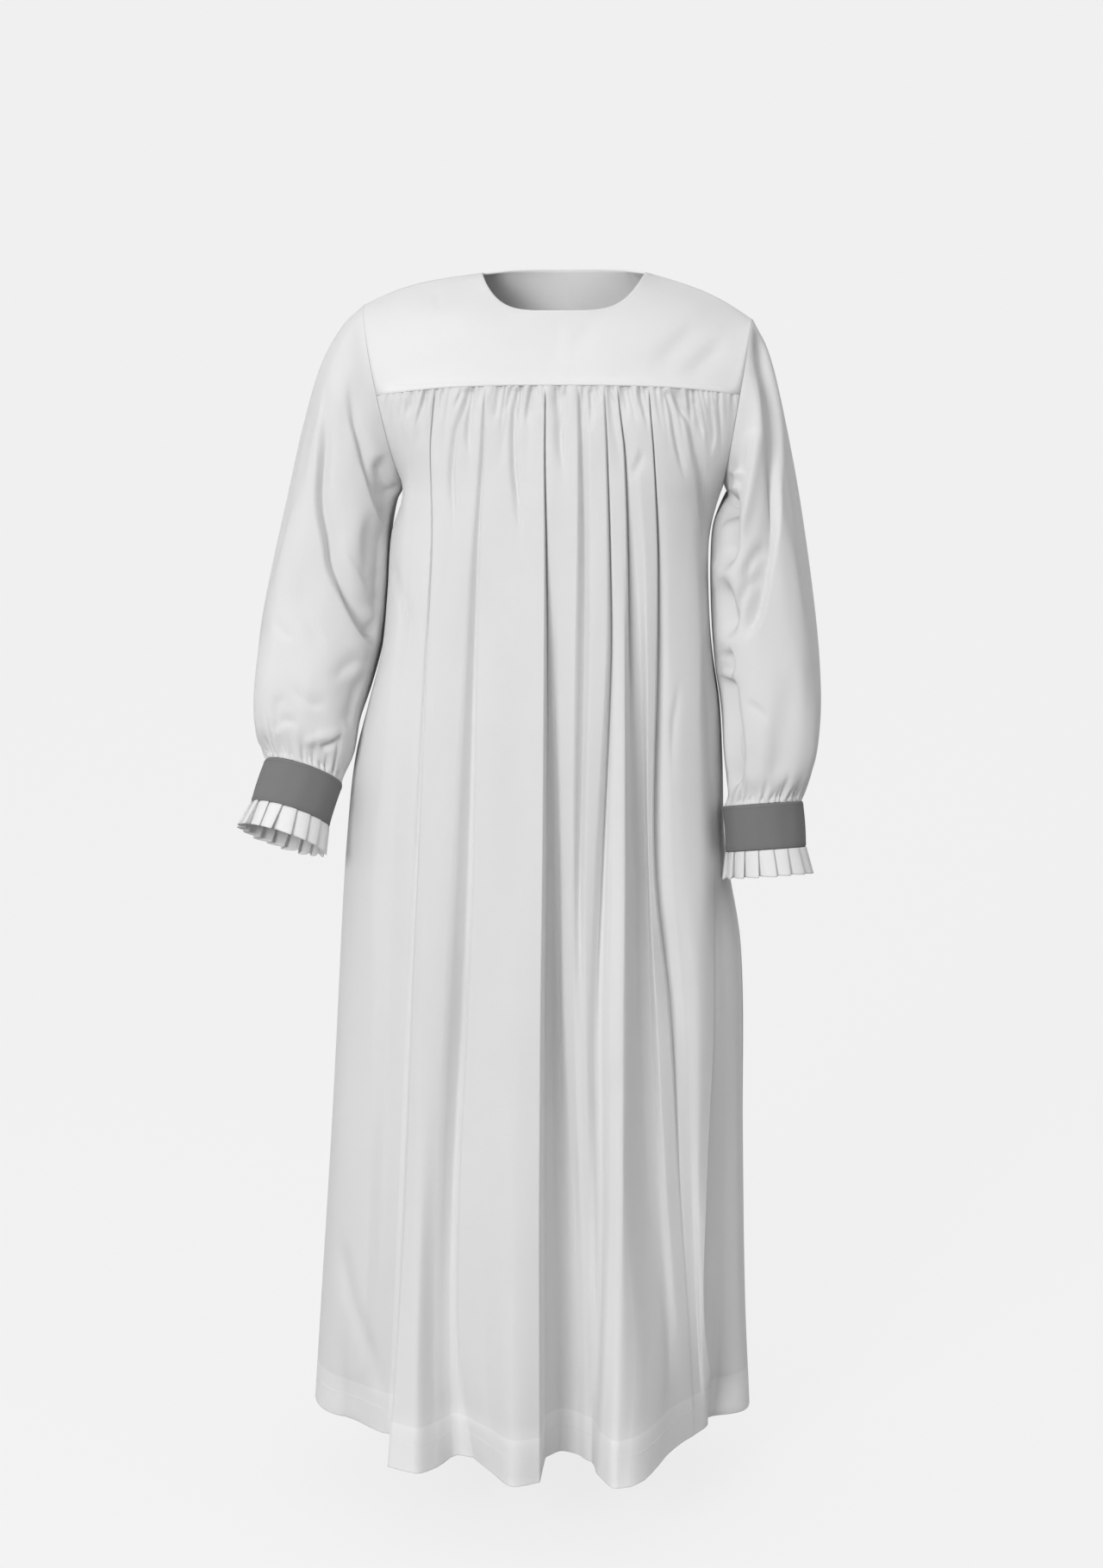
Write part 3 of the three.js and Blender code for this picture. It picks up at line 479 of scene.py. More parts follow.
def unevenness(columns, rows, uneven):
    """Smooth random highs and lows over a grid of cloth."""
    cells_across, cells_along, depth, seed = uneven
    values = np.random.default_rng(seed).uniform(-1, 1, (cells_along + 1, cells_across + 1))
    u = np.linspace(0, cells_across, columns)
    v = np.linspace(0, cells_along, rows)
    values = np.array([curve(np.arange(cells_across + 1), row, u) for row in values])
    values = np.array([curve(np.arange(cells_along + 1), column, v) for column in values.T])
    return depth * values.T


# ---------- the pattern of the garment ----------

def armhole_point(side, face, turn):
    """A point of an armhole: at its top where turn is 0, at its bottom half a turn on."""
    hole = ARMHOLES[side]
    up = (1 + np.cos(turn)) / 2
    return (
        mix(hole.bottom_x, hole.top_x, up),
        FORWARD[face] * hole.half_depth * np.sin(turn),
        mix(hole.bottom_z, hole.top_z, up),
    )


def armhole_turn(side, z):
    """How far round its armhole a height lies."""
    hole = ARMHOLES[side]
    return np.arccos(np.clip(2 * (z - hole.bottom_z) / (hole.top_z - hole.bottom_z) - 1, -1, 1))


def neck_point(face, across):
    """A point of the neck edge, from the left shoulder seam at -1 to the right one at 1."""
    angle = across * np.pi / 2
    power = 2 / NECK_SQUARENESS
    x = NECK_HALF_WIDTH * np.sign(across) * np.abs(np.sin(angle)) ** power
    y = FORWARD[face] * NECK_REACH[face] * np.abs(np.cos(angle)) ** power
    z = mix(NECK_Z[face], NECK_Z["side"], np.abs(x / NECK_HALF_WIDTH) ** NECK_FLATNESS)
    return stack(x, y, z)


def seam_height(face, x):
    """The height of a yoke seam, which drops towards the armholes."""
    return SEAM_Z[face] - SEAM_DROP[face] * np.abs(x / SEAM_DROP_AT) ** 3


def section(face, z):
    """The body's section at a height: centre, half width, reach and squareness."""
    names = ("centre_x", "half_width", face, "squareness")
    return [down(BODY_SECTIONS["z"], BODY_SECTIONS[name], z) for name in names]


def panel_end(side, face, z):
    """Where a panel ends at a height: on the armhole, or at the side seam below it."""
    centre, half_width, _, _ = section(face, z)
    hole_x, hole_y, _ = armhole_point(side, face, armhole_turn(side, z))
    seam_x = centre + (-half_width if side == "left" else half_width)
    on_hole = z > UNDERARM_Z
    return np.where(on_hole, hole_x, seam_x), np.where(on_hole, hole_y, 0)


def panel_section(face, x, z):
    """The section that the cloth at x follows; above the underarm it meets the armholes."""
    centre, half_width, reach, power = section(face, z)
    widths = []
    for name in ("left", "right"):
        end_x, end_y = panel_end(name, face, z)
        depth = clamp01(np.abs(end_y) / reach) ** power
        widened = np.abs(end_x - centre) / (1 - depth) ** (1 / power)
        widths.append(np.where(z > UNDERARM_Z, widened, half_width))
    half_width = np.where(x < centre, *widths)
    return centre, half_width, reach, power


def section_reach(x, centre, half_width, reach, power):
    """How far a section reaches to the front or back at x."""
    side = clamp01(np.abs((x - centre) / half_width))
    return reach * (1 - side ** power) ** (1 / power)


def fold_knots(face):
    """The fold lines as knots: heights, x by height, how far out by height, and corners."""
    heights = FOLD_HEIGHTS[face]
    xs, outs, corners = [], [], []
    for fold in FOLDS[face]:
        if isinstance(fold, Edge):
            half = np.array(fold.half_width[:len(heights)])
            middle = np.array(fold.x, float)
            xs += [middle - half, middle, middle + half]
            outs += [fold.before, fold.bottom, fold.after]
            corners += [True, False, True]
        else:
            xs.append(fold.x)
            outs.append(fold.out)
            corners.append(fold.corner)
    return heights, xs, outs, np.array(corners)


COLUMN_WIDTH = 1.16          # one column of a body panel's mesh under the seam
END_COLUMN = 0.03            # the columns at its ends, as shares of the way to the next line


def panel_columns(face):
    """Where each mesh column of a panel lies, counted in knots."""
    heights, xs, _, _ = fold_knots(face)
    ends = [panel_end(side, face, np.array(heights[:3], float))[0] for side in ("left", "right")]
    places = [ends[0], *(np.array(x[:3], float) for x in xs[1:-1]), ends[1]]
    widths = np.mean(np.diff(places, axis=0), axis=1)
    counts = np.maximum(2, np.round(widths / COLUMN_WIDTH)).astype(int)
    columns = np.concatenate([k + np.arange(count) / count for k, count in enumerate(counts)])
    last = len(xs) - 1
    return np.concatenate(([0, END_COLUMN], columns[1:], [last - END_COLUMN, last]))


TURN_FROM = 0.8              # folds stand out sideways from this share of the half width on
TURN_OVER = 0.18


def panel_place(face, at, z):
    """Where the columns `at` of a panel hang at heights z, and how far out their folds stand."""
    heights, xs, outs, corners = fold_knots(face)
    at = np.asarray(at, float)
    z = np.broadcast_to(z, (len(z), len(at)))
    (left_x, left_y), (right_x, right_y) = (panel_end(s, face, z) for s in ("left", "right"))
    hangs = np.array([left_x, *(down(heights, x, z) for x in xs[1:-1]), right_x])
    opened = ease((SEAM_Z[face] - z) / FOLDS_OPEN_OVER) * down(*FOLDS_DEEPEN, z)
    stands = np.array([opened * down(heights[1:], out, z) for out in outs])
    k = np.clip(at.astype(int), 0, len(xs) - 2)
    columns = np.arange(len(at))
    t = at - k

    # At a corner the cloth turns sharply; elsewhere its slope is the same on both sides.
    slopes = np.diff(stands, axis=0) / np.maximum(np.diff(hangs, axis=0), 0.2)
    before, after = slopes[:-1], slopes[1:]
    same_way = before * after > 0
    total = np.where(same_way, before + after, 1)
    shared = np.where(same_way, 2 * before * after / total, 0)
    corner = corners[1:-1, None, None]
    ends = (slopes[:1] * 0, slopes[-1:] * 0)
    leaving = np.concatenate((ends[0], np.where(corner, after, shared), ends[1]))
    arriving = np.concatenate((ends[0], np.where(corner, before, shared), ends[1]))

    def of(values, knot):
        return values[knot, :, columns].T

    span = of(hangs, k + 1) - of(hangs, k)
    x = of(hangs, k) + t * span
    out = hermite(t, of(stands, k), of(stands, k + 1), of(leaving, k) * span,
                  of(arriving, k + 1) * span)
    centre, half_width, reach, power = panel_section(face, x, z)
    y = FORWARD[face] * section_reach(x, centre, half_width, reach, power)
    y[:, 0], y[:, -1] = left_y[:, 0], right_y[:, -1]
    from_middle = np.abs(x - centre) / half_width
    sideways = ease((from_middle - TURN_FROM) / TURN_OVER)
    away = unit(stack((x - centre) / half_width ** 2 * sideways, y / reach ** 2, 0))
    return stack(x, y, z), away, out


def gather_depth(family, seam_x, below):
    """How far one family of gathers lowers the cloth under a seam."""
    rng = np.random.default_rng(family.seed)
    pitch = 2 * GATHERS_SPAN / family.count
    lowered = np.zeros(np.broadcast(seam_x, below).shape)
    for i in range(family.count):
        start = -GATHERS_SPAN + (i + 0.5 + rng.uniform(-0.42, 0.42)) * pitch
        reach = family.reach * rng.uniform(0.5, 1.6)
        depth = family.depth * rng.uniform(0.4, 1.35)
        slant = GATHERS_SLANT * start / GATHERS_SPAN + rng.uniform(-0.12, 0.12)
        gone = clamp01(below / reach)
        line = start + slant * np.minimum(below, reach)
        width = mix(family.width_top, family.width_end, gone) * rng.uniform(0.8, 1.4)
        strength = mix(0.5, 1, ease(below / family.opens_over)) * (1 - gone) ** 0.7
        lowered += depth * strength * np.exp(-np.abs((seam_x - line) / width) ** 1.5)
    return lowered


# ---------- meshes ----------

def put(name, data):
    """A new object in the scene."""
    thing = bpy.data.objects.new(name, data)
    bpy.context.scene.collection.objects.link(thing)
    return thing


def quads(index, flip):
    """Faces over a grid of corner numbers; flipped, they look the other way."""
    a, b = index[:-1, :-1], index[1:, :-1]
    c, d = index[1:, 1:], index[:-1, 1:]
    return np.stack((a, d, c, b) if flip else (a, b, c, d), axis=-1).reshape(-1, 4)


def cloth(name, grid, width, along, thickness, finish, ring=False, flip=False):
    """A sheet through a grid of points, thickened inwards. Its weave runs across the flat cut's
    width, and `along` is how far down the cut each row lies."""
    rows, columns = grid.shape[:2]
    index = np.arange(rows * columns).reshape(rows, columns)
    if ring:
        index = np.hstack((index, index[:, :1]))
    faces = quads(index, flip)
    mesh = bpy.data.meshes.new(name)
    mesh.from_pydata((grid.reshape(-1, 3) * MM).tolist(), [], faces.tolist())
    u, v = np.meshgrid(np.linspace(0, width, columns + ring) * MM, along * MM)
    order = quads(np.arange(u.size).reshape(u.shape), flip).ravel()
    layer = mesh.uv_layers.new(name="cloth")
    layer.data.foreach_set("uv", np.stack((u.ravel()[order], v.ravel()[order]), 1).ravel())
    mesh.polygons.foreach_set("use_smooth", np.ones(len(faces), bool))
    mesh.materials.append(finish)
    mesh.update()
    piece = put(name, mesh)
    wall = piece.modifiers.new("wall", "SOLIDIFY")
    wall.thickness = thickness * MM
    wall.offset = -1
    return piece


# ---------- the body ----------

BODY_CLOTH_WIDTH = 1150      # one panel's width before it is gathered
CALM_AT_SIDES = 12           # gathers are shallower this near an armhole or side seam
HEM_STANDS_OUT = 0.25
PUFF = 1.6                   # the cloth stands this far out of its seam
PUFF_OVER = 9
SEAM_LIES_IN = 0.3
BODY_UNEVEN = Uneven(15, 11, 1.5, 5)
UNEVEN_OVER = 90             # it is fully uneven this far below the seam

UNDERARM_EVENED = 14         # how often the rows are evened out, where the section turns
EVENED_FROM_SIDE = 25
EVENED_BELOW_SEAM = 30
EVENED_OVER = 40

# Rows of a panel's mesh below the seam: from, to, and from one to the next.
ROWS_UNDER_SEAM = ((0, 36, 2.25), (36, 120, 5.25), (120, 360, 10))
SKIRT_ROWS = 52
HEM_ROWS = 5
HEM_STEP = 0.8               # half of the breadth over which the hem starts to stand out


def body_rows(face):
    """Distances below the seam, close together where the gathers are fine."""
    length = SEAM_Z[face] - HEM_Z
    hem_line = length - HEM_DEPTH
    rows = [np.arange(*part) for part in ROWS_UNDER_SEAM]
    rows.append(np.linspace(ROWS_UNDER_SEAM[-1][1], hem_line - HEM_STEP, SKIRT_ROWS))
    rows.append([hem_line + HEM_STEP])
    rows.append(np.linspace(hem_line + 10, length - 1, HEM_ROWS))
    rows.append([length])
    return np.concatenate(rows)


def body_grid(face):
    at = panel_columns(face)
    below = body_rows(face)[:, None]
    level = np.full((1, len(at)), SEAM_Z[face], float)
    seam_x = panel_place(face, at, level)[0][0, :, 0]
    seam_z = seam_height(face, seam_x) - SEAM_GAP / 2
    z = mix(seam_z[None], SEAM_Z[face], clamp01(below / SEAM_LEVELS_OVER)) - below
    z = np.maximum(z, HEM_Z)
    place, away, out = panel_place(face, at, z)
    from_side = np.minimum(seam_x - seam_x[0], seam_x[-1] - seam_x)
    evened = ease(from_side / EVENED_FROM_SIDE) * ease((below - EVENED_BELOW_SEAM) / EVENED_OVER)
    for _ in range(UNDERARM_EVENED):
        between = (place[:-2, :, 1] + place[2:, :, 1]) / 2
        place[1:-1, :, 1] = mix(place[1:-1, :, 1], between, 0.5 * evened[1:-1])

    x = place[..., 0]
    lowered = sum(gather_depth(family, seam_x[None], below) for family in GATHERS[face])
    lowered = lowered + sum(crease_depth(x, z, crease) for crease in BODY_CREASES[face])
    lowered -= unevenness(len(at), len(below), BODY_UNEVEN) * ease(below / UNEVEN_OVER)
    in_hem = below > body_rows(face)[-1] - HEM_DEPTH
    raised = PUFF * ease(below / PUFF_OVER) - SEAM_LIES_IN + HEM_STANDS_OUT * in_hem
    calm = ease(from_side / CALM_AT_SIDES)[None]
    grid = place + away * (out + (raised - lowered) * calm)[..., None]
    grid[:, [0, -1], 1] += FORWARD[face] * SEAM_GAP / 2
    return grid


# ---------- the yoke ----------

YOKE_CLOTH = (640, 120)      # the length of its outer edge, and how deep it is
YOKE_COLUMNS = 150
YOKE_ROWS = 48
CORNER = 0.3                 # the share of the outer edge that lies on each armhole
YOKE_SMOOTHING = 900
YOKE_UNEVEN = Uneven(9, 4, 0.8, 3)
BOW_NEARER_SEAM = 0.25       # how much fuller the yoke's bow is towards the seam
BOW_OUTWARDS = 0.6           # and how far it turns from upwards to outwards,
BOW_TURNS_OVER = 0.42        # this far round its edge from a shoulder seam
YOKE_HELD = {"neck": 0.12, "seam": 0.10, "shoulder": 0.06}   # no fold this near an edge


def yoke_edge(face, share):
    """The yoke's outer edge: down one armhole, along the seam, up the other."""
    from_shoulder = np.minimum(share, 1 - share)
    corner_z = seam_height(face, SEAM_DROP_AT)
    on_holes = []
    corners = []
    for side in ("left", "right"):
        turn = armhole_turn(side, corner_z)
        on_holes.append(stack(*armhole_point(side, face, turn * clamp01(from_shoulder / CORNER))))
        corners.append(armhole_point(side, face, turn)[0])
    x = mix(*corners, (share - CORNER) / (1 - 2 * CORNER))
    z = seam_height(face, x)
    on_seam = stack(x, FORWARD[face] * section_reach(x, *panel_section(face, x, z)), z)
    on_hole = np.where((share < 0.5)[..., None], *on_holes)
    return np.where((from_shoulder <= CORNER)[..., None], on_hole, on_seam)


def smoothed(grid, times):
    """The grid with all but its edges evened out, so that no crease crosses it."""
    grid = grid.copy()
    for _ in range(times):
        inner = grid[:-2, 1:-1] + grid[2:, 1:-1] + grid[1:-1, :-2] + grid[1:-1, 2:]
        grid[1:-1, 1:-1] = inner / 4
    return grid


def yoke_grid(face):
    share = np.linspace(0, 1, YOKE_COLUMNS + 1)[None]
    lower = np.linspace(0, 1, YOKE_ROWS + 1)[:, None]
    place = mix(neck_point(face, 2 * share - 1), yoke_edge(face, share), lower[..., None])
    place = smoothed(place, YOKE_SMOOTHING)

    # It bows out between neck and edge: a little on the shoulders, and more over the chest.
    from_shoulder = np.minimum(share, 1 - share)
    bow = np.sin(np.pi * lower) * (1 - BOW_NEARER_SEAM * np.cos(np.pi * lower))
    corner = np.sin(np.pi * clamp01(from_shoulder / (2 * CORNER))) ** 2
    rise = mix(mix(SHOULDER_RISE, YOKE_RISE, ease(from_shoulder / 0.5)), CHEST_RISE, corner)
    outwards = ease(from_shoulder / BOW_TURNS_OVER)
    direction = unit(stack(0, FORWARD[face] * outwards, 1 - BOW_OUTWARDS * outwards))
    grid = place + direction * (rise * bow)[..., None]
    on_seam = (from_shoulder >= CORNER - 1e-6)[0]
    grid[-1, on_seam, 2] += SEAM_GAP / 2
    grid[:, [0, -1], 1] += FORWARD[face] * SEAM_GAP / 2

    x, z = grid[..., 0], grid[..., 2]
    lowered = sum(crease_depth(x, z, crease) for crease in YOKE_FOLDS[face])
    lowered = lowered + unevenness(YOKE_COLUMNS + 1, YOKE_ROWS + 1, YOKE_UNEVEN)
    lowered *= ease(lower / YOKE_HELD["neck"]) * ease((1 - lower) / YOKE_HELD["seam"])
    lowered *= ease(from_shoulder / YOKE_HELD["shoulder"])
    return grid - outward(grid, False, face == "back") * lowered[..., None]


# ---------- sleeves ----------

SLEEVE_CLOTH_WIDTH = 560
SLEEVE_CLOTH_ENDS = (-600, -80)    # kept clear of the hem's part of the cloth's pattern
SLEEVE_FRONT_COLUMNS = 170
SLEEVE_BACK_COLUMNS = 80
SLEEVE_ROWS = 124
SLEEVE_FLATTENED = 0.3
SLEEVE_UNEVEN = (Uneven(9, 7, 1.8, 9), Uneven(19, 12, 1.3, 21))
END_ROW = 0.02               # the rows at its ends, in rings from the first and last ring
SOFT_FOLDS_OUT = 0.6         # how far the soft folds stand out, as a share of what a ring says,
SOFT_FOLDS_INSIDE = 0.1      # and of that on the side towards the body
SOFT_FOLDS_TURN = 0.25       # how far they wind round the arm from ring to ring
SEAM_HELD = 0.1              # the cloth is even this near the seam along the sleeve
HEAD_HELD = 0.8              # creases start over this many rings, and end over these
CUFF_HELD = 0.5
CUFF_GATHERS = 34
CUFF_GATHERS_SEED = {"left": 7, "right": 8}
BESIDE_BODY_FADED = 0.9      # what creases lose beside the body,
BESIDE_BODY = (0.2, 0.8)     # how far round the sleeve they do, and stay low,
BESIDE_BODY_OUT = 12         # where none stands out further than this


def ring_points(ring, angle, grow=0, flattened=0):
    """Points round a ring: 0 at its outermost point, a quarter turn on at the front. Where it is
    flattened, its front and back bend less and its sides more."""
    middle = stack(
        (ring["outer_x"] + ring["inner_x"]) / 2,
        ring["mid_y"],
        (ring["outer_z"] + ring["inner_z"]) / 2,
    )
    across = stack(ring["outer_x"] - ring["inner_x"], 0, ring["outer_z"] - ring["inner_z"]) / 2
    half_width = np.linalg.norm(across, axis=-1, keepdims=True)
    tilt = np.radians(ring["tilt"])
    front = stack(0, -np.cos(tilt), np.sin(tilt))
    half_depth = np.asarray(ring["half_depth"], float)[..., None]
    grow = np.asarray(grow, float)[..., None]
    cosine, sine = np.cos(angle)[..., None], np.sin(angle)[..., None]
    sine = np.sign(sine) * np.abs(sine) ** (1 - np.asarray(flattened, float)[..., None])
    return middle + unit(across) * (half_width + grow) * cosine + front * (half_depth + grow) * sine


def cuff_gather_depth(side, angle, to_cuff):
    """How far the gathers above a band lower the sleeve; to_cuff is in rings."""
    rng = np.random.default_rng(CUFF_GATHERS_SEED[side])
    lowered = 0
    for i in range(CUFF_GATHERS):
        start = 2 * np.pi * (i + rng.uniform(-0.4, 0.4)) / CUFF_GATHERS
        reach = rng.uniform(0.9, 3.2)
        depth = rng.uniform(2.5, 7.5)
        width = mix(0.035, 0.10, clamp01(to_cuff / reach))
        turn = np.abs((angle - start + np.pi) % (2 * np.pi) - np.pi)
        strength = mix(0.5, 1, ease(to_cuff / 0.4)) * (1 - ease(to_cuff / reach))
        lowered = lowered + depth * strength * np.exp(-(turn / width) ** 2)
    return lowered


def sleeve_grid(side):
    rings = SLEEVES[side]
    last = len(rings["tilt"]) - 1
    step = np.linspace(0, last, SLEEVE_ROWS)
    step[[1, -2]] = END_ROW, last - END_ROW
    ring = {name: curve(np.arange(last + 1), column, step)[:, None]
            for name, column in rings.items()}
    angle = np.concatenate((
        np.linspace(0, np.pi, SLEEVE_FRONT_COLUMNS, endpoint=False),
        np.linspace(np.pi, 2 * np.pi, SLEEVE_BACK_COLUMNS, endpoint=False),
    ))[None]
    step = step[:, None]
    to_cuff = last - step
    soft = SOFT_FOLDS_OUT * ring["crease"]
    soft = soft * np.cos(SLEEVE_SOFT_FOLDS * angle + SOFT_FOLDS_TURN * step)
    grow = soft * np.maximum(np.cos(angle / 2) ** 2, SOFT_FOLDS_INSIDE)
    flattened = SLEEVE_FLATTENED * ease(step / 2) * ease(to_cuff / 2)
    grid = ring_points(ring, angle, grow, flattened)

    x, z = grid[..., 0], grid[..., 2]
    lowered = np.zeros(x.shape)
    for face, facing in (("front", np.sin(angle)), ("back", -np.sin(angle))):
        weight = ease(0.5 + 2.5 * facing)
        lowered += weight * sum(crease_depth(x, z, c) for c in SLEEVE_FOLDS[side, face])
    lowered += cuff_gather_depth(side, angle, to_cuff)
    seam = angle / (2 * np.pi)
    for layer in SLEEVE_UNEVEN:
        uneven = unevenness(angle.shape[1] + 1, SLEEVE_ROWS, layer)[:, :-1]
        lowered += uneven * ease(seam / SEAM_HELD) * ease((1 - seam) / SEAM_HELD)

    # Beside the body the creases fade, so that sleeve and body don't touch.
    from_body = np.abs(angle - np.pi)
    close, near = (ease(1.6 - from_body / reach) for reach in BESIDE_BODY)
    lowered *= 1 - BESIDE_BODY_FADED * close
    lowered = np.maximum(lowered, -BESIDE_BODY_OUT * (1 - near))
    held = ease(step / HEAD_HELD) * mix(0.35, 1, ease(to_cuff / CUFF_HELD))
    return grid - outward(grid, True, side == "right") * (lowered * held)[..., None]


# ---------- cuff bands and frills ----------

def hand_ring(side, distance):
    """A ring further along the arm than the sleeve's last one; distance may be an array."""
    ring = {name: column[-1] for name, column in SLEEVES[side].items()}
    tilt = math.radians(ring["tilt"])
    lean = math.asin(CUFF_LEAN[side] / CUFF_DEPTH)
    x = math.sin(lean) * distance
    y = -math.sin(tilt) * math.cos(lean) * distance
    z = -math.cos(tilt) * math.cos(lean) * distance
    moved = {"outer_x": x, "inner_x": x, "mid_y": y, "outer_z": z, "inner_z": z}
    return {name: value + moved.get(name, 0 * distance) for name, value in ring.items()}


CUFF_CLOTH_WIDTH = 275
CUFF_COLUMNS = 144
CUFF_ROWS = 26
CUFF_ROLLED = (0.9, 2.2)     # how far its edges roll in, and over what depth
CUFF_WAVES = (3, 0.7)        # how many soft waves go round it, and how high they are
CUFF_RIPPLES = (11, 0.35)


def cuff_grid(side):
    down_share = np.linspace(0, 1, CUFF_ROWS)[:, None]
    distance = SEAM_GAP + down_share * CUFF_DEPTH
    angle = np.linspace(0, 2 * np.pi, CUFF_COLUMNS, endpoint=False)[None]
    count, height = CUFF_WAVES
    soft = height * np.sin(count * angle + 1.1) * np.sin(np.pi * down_share)
    count, height = CUFF_RIPPLES
    soft = soft + height * np.sin(count * angle) * np.sin(2.2 * down_share + 0.4)
    from_edge = np.minimum(down_share, 1 - down_share) * CUFF_DEPTH
    rolled = -CUFF_ROLLED[0] * (1 - ease(from_edge / CUFF_ROLLED[1]))
    return ring_points(hand_ring(side, distance), angle, CUFF_FLARE + soft + rolled)


# One knife pleat: how far round it has gone, in pleats, and how far it has climbed.
PLEAT_TURN = (0, 0.30, 0.62, 0.94, 1.16, 1.20, 1.12, 1.02, 1.0)
PLEAT_CLIMB = (-0.35, 0.25, 0.65, 0.95, 1.0, 0.80, 0.20, -0.45, -0.35)
PLEAT_COLUMNS = 18
PLEAT_HEIGHT = {"top": 2.8, "hand end": 6.4}
PLEAT_SEED = {"left": 13, "right": 17}
FRILL_CLOTH_WIDTH = 600
FRILL_CLOTH = 0.7
FRILL_ROWS = 14
FRILL_LIES_IN = 0.6
INNER_CLOTH_SHORTER = 1.6    # the inner layers of a pleat end this far above the outer one


def frill_grid(side):
    top = 2 * SEAM_GAP + CUFF_DEPTH
    down_share = np.linspace(0, 1, FRILL_ROWS)[:, None]
    rng = np.random.default_rng(PLEAT_SEED[side])
    knots = np.linspace(0, 1, len(PLEAT_TURN))
    u = np.linspace(0, 1, PLEAT_COLUMNS, endpoint=False)
    turns, climbs, sways = [], [], []
    for pleat in range(PLEATS):
        turns.append(pleat + curve(knots, PLEAT_TURN, u))
        climbs.append(curve(knots, PLEAT_CLIMB, u) * rng.uniform(0.8, 1.1))
        sways.append(np.full(len(u), rng.uniform(-0.10, 0.10)))
    turn, climb, sway = (np.concatenate(parts)[None] for parts in (turns, climbs, sways))
    angle = 2 * np.pi * (turn + sway * down_share) / PLEATS
    height = mix(PLEAT_HEIGHT["top"], PLEAT_HEIGHT["hand end"], down_share)
    grow = climb * height + FRILL_FLARE * down_share - FRILL_LIES_IN
    length = FRILL_DEPTH - INNER_CLOTH_SHORTER * (1 - climb)
    if side == "right":
        angle, grow, length = -angle[:, ::-1], grow[:, ::-1], length[:, ::-1]
    return ring_points(hand_ring(side, top + down_share * length), angle, grow)


# ---------- stitches ----------

STITCH_SIZES = {"Step": 2.6, "Length": 1.9, "Radius": 0.22}
STITCH_SIDES = 5
STITCH_LIFT = 0.1
STITCHES_IN = 2              # mesh rows between a stitched edge and its stitches
HEM_STITCHES_UP = 4


def stitch_tree(finish):
    """Short rounded stitches laid along every curve of an object."""
    tree = bpy.data.node_groups.new("stitches", "GeometryNodeTree")
    face = tree.interface
    face.new_socket(name="Geometry", in_out="OUTPUT", socket_type="NodeSocketGeometry")
    face.new_socket(name="Geometry", in_out="INPUT", socket_type="NodeSocketGeometry")
    sizes = {}
    for name, value in STITCH_SIZES.items():
        socket = face.new_socket(name=name, in_out="INPUT", socket_type="NodeSocketFloat")
        sizes[socket.identifier] = value * MM
    start, end, points, aim, stitch, place, real, finished = map(tree.nodes.new, (
        "NodeGroupInput", "NodeGroupOutput", "GeometryNodeCurveToPoints",
        "FunctionNodeAlignRotationToVector", "GeometryNodeMeshCylinder",
        "GeometryNodeInstanceOnPoints", "GeometryNodeRealizeInstances", "GeometryNodeSetMaterial",
    ))
    points.mode = "LENGTH"
    aim.axis = "Z"
    stitch.fill_type = "TRIANGLE_FAN"
    stitch.inputs["Vertices"].default_value = STITCH_SIDES
    finished.inputs["Material"].default_value = finish
    for giver, output, taker, socket in (
        (start, "Geometry", points, "Curve"),
        (start, "Step", points, "Length"),
        (start, "Length", stitch, "Depth"),
        (start, "Radius", stitch, "Radius"),
        (points, "Points", place, "Points"),
        (points, "Tangent", aim, "Vector"),
        (stitch, "Mesh", place, "Instance"),
        (aim, "Rotation", place, "Rotation"),
        (place, "Instances", real, "Geometry"),
        (real, "Geometry", finished, "Geometry"),
        (finished, "Geometry", end, "Geometry"),
    ):
        tree.links.new(giver.outputs[output], taker.inputs[socket])
    return tree, sizes


def make_stitches(name, rows, finish):
    """Stitches along rows of points in millimetres; a row may close on itself."""
    curves = bpy.data.curves.new(name, "CURVE")
    curves.dimensions = "3D"
    for points, closed in rows:
        spline = curves.splines.new("POLY")
        spline.points.add(len(points) - 1)
        spline.points.foreach_set("co", np.hstack((points * MM, np.ones((len(points), 1)))).ravel())
        spline.use_cyclic_u = closed
    guide = put(f"{name}_rows", curves)
    modifier = guide.modifiers.new("stitches", "NODES")
    modifier.node_group, sizes = stitch_tree(finish)
    for identifier, value in sizes.items():
        modifier[identifier] = value
    graph = bpy.context.evaluated_depsgraph_get()
    mesh = bpy.data.meshes.new_from_object(guide.evaluated_get(graph))
    bpy.data.objects.remove(guide)
    return put(name, mesh)


def stitch_row(grid, row, columns=slice(None), ring=False, flip=False):
    """A row of a cloth's points, lifted a little off it, and whether it closes on itself."""
    return (grid + outward(grid, ring, flip) * STITCH_LIFT)[row, columns], ring


# ---------- finishes ----------

def grey(tone):
    return (tone, tone, tone, 1)


WHITE = grey(0.85)
DOUBLED_WHITE = grey(0.875)
HEM_WHITE = grey(0.91)
FRILL_WHITE = grey(0.88)
BAND_GREY = (0.205, 0.205, 0.208, 1)
WHITE_THREAD = grey(0.80)
GREY_THREAD = (0.17, 0.17, 0.175, 1)

THREAD_PITCH = 0.00055       # metres from one thread of the weave to the next
SLUBS_ALONG = 28             # thick places in a metre of thread
SLUBS_ACROSS = 900           # and from thread to thread in a metre of cloth
MOTTLES = 14                 # faint lighter places in a metre of cloth
DARKER = grey(0.93)          # its darkest places, as shares of its colour
WEAVE_RELIEF = 0.35
SLUB_RELIEF = 0.9
RELIEF_DEPTH = 0.0004        # metres
RELIEF_STRENGTH = 0.6


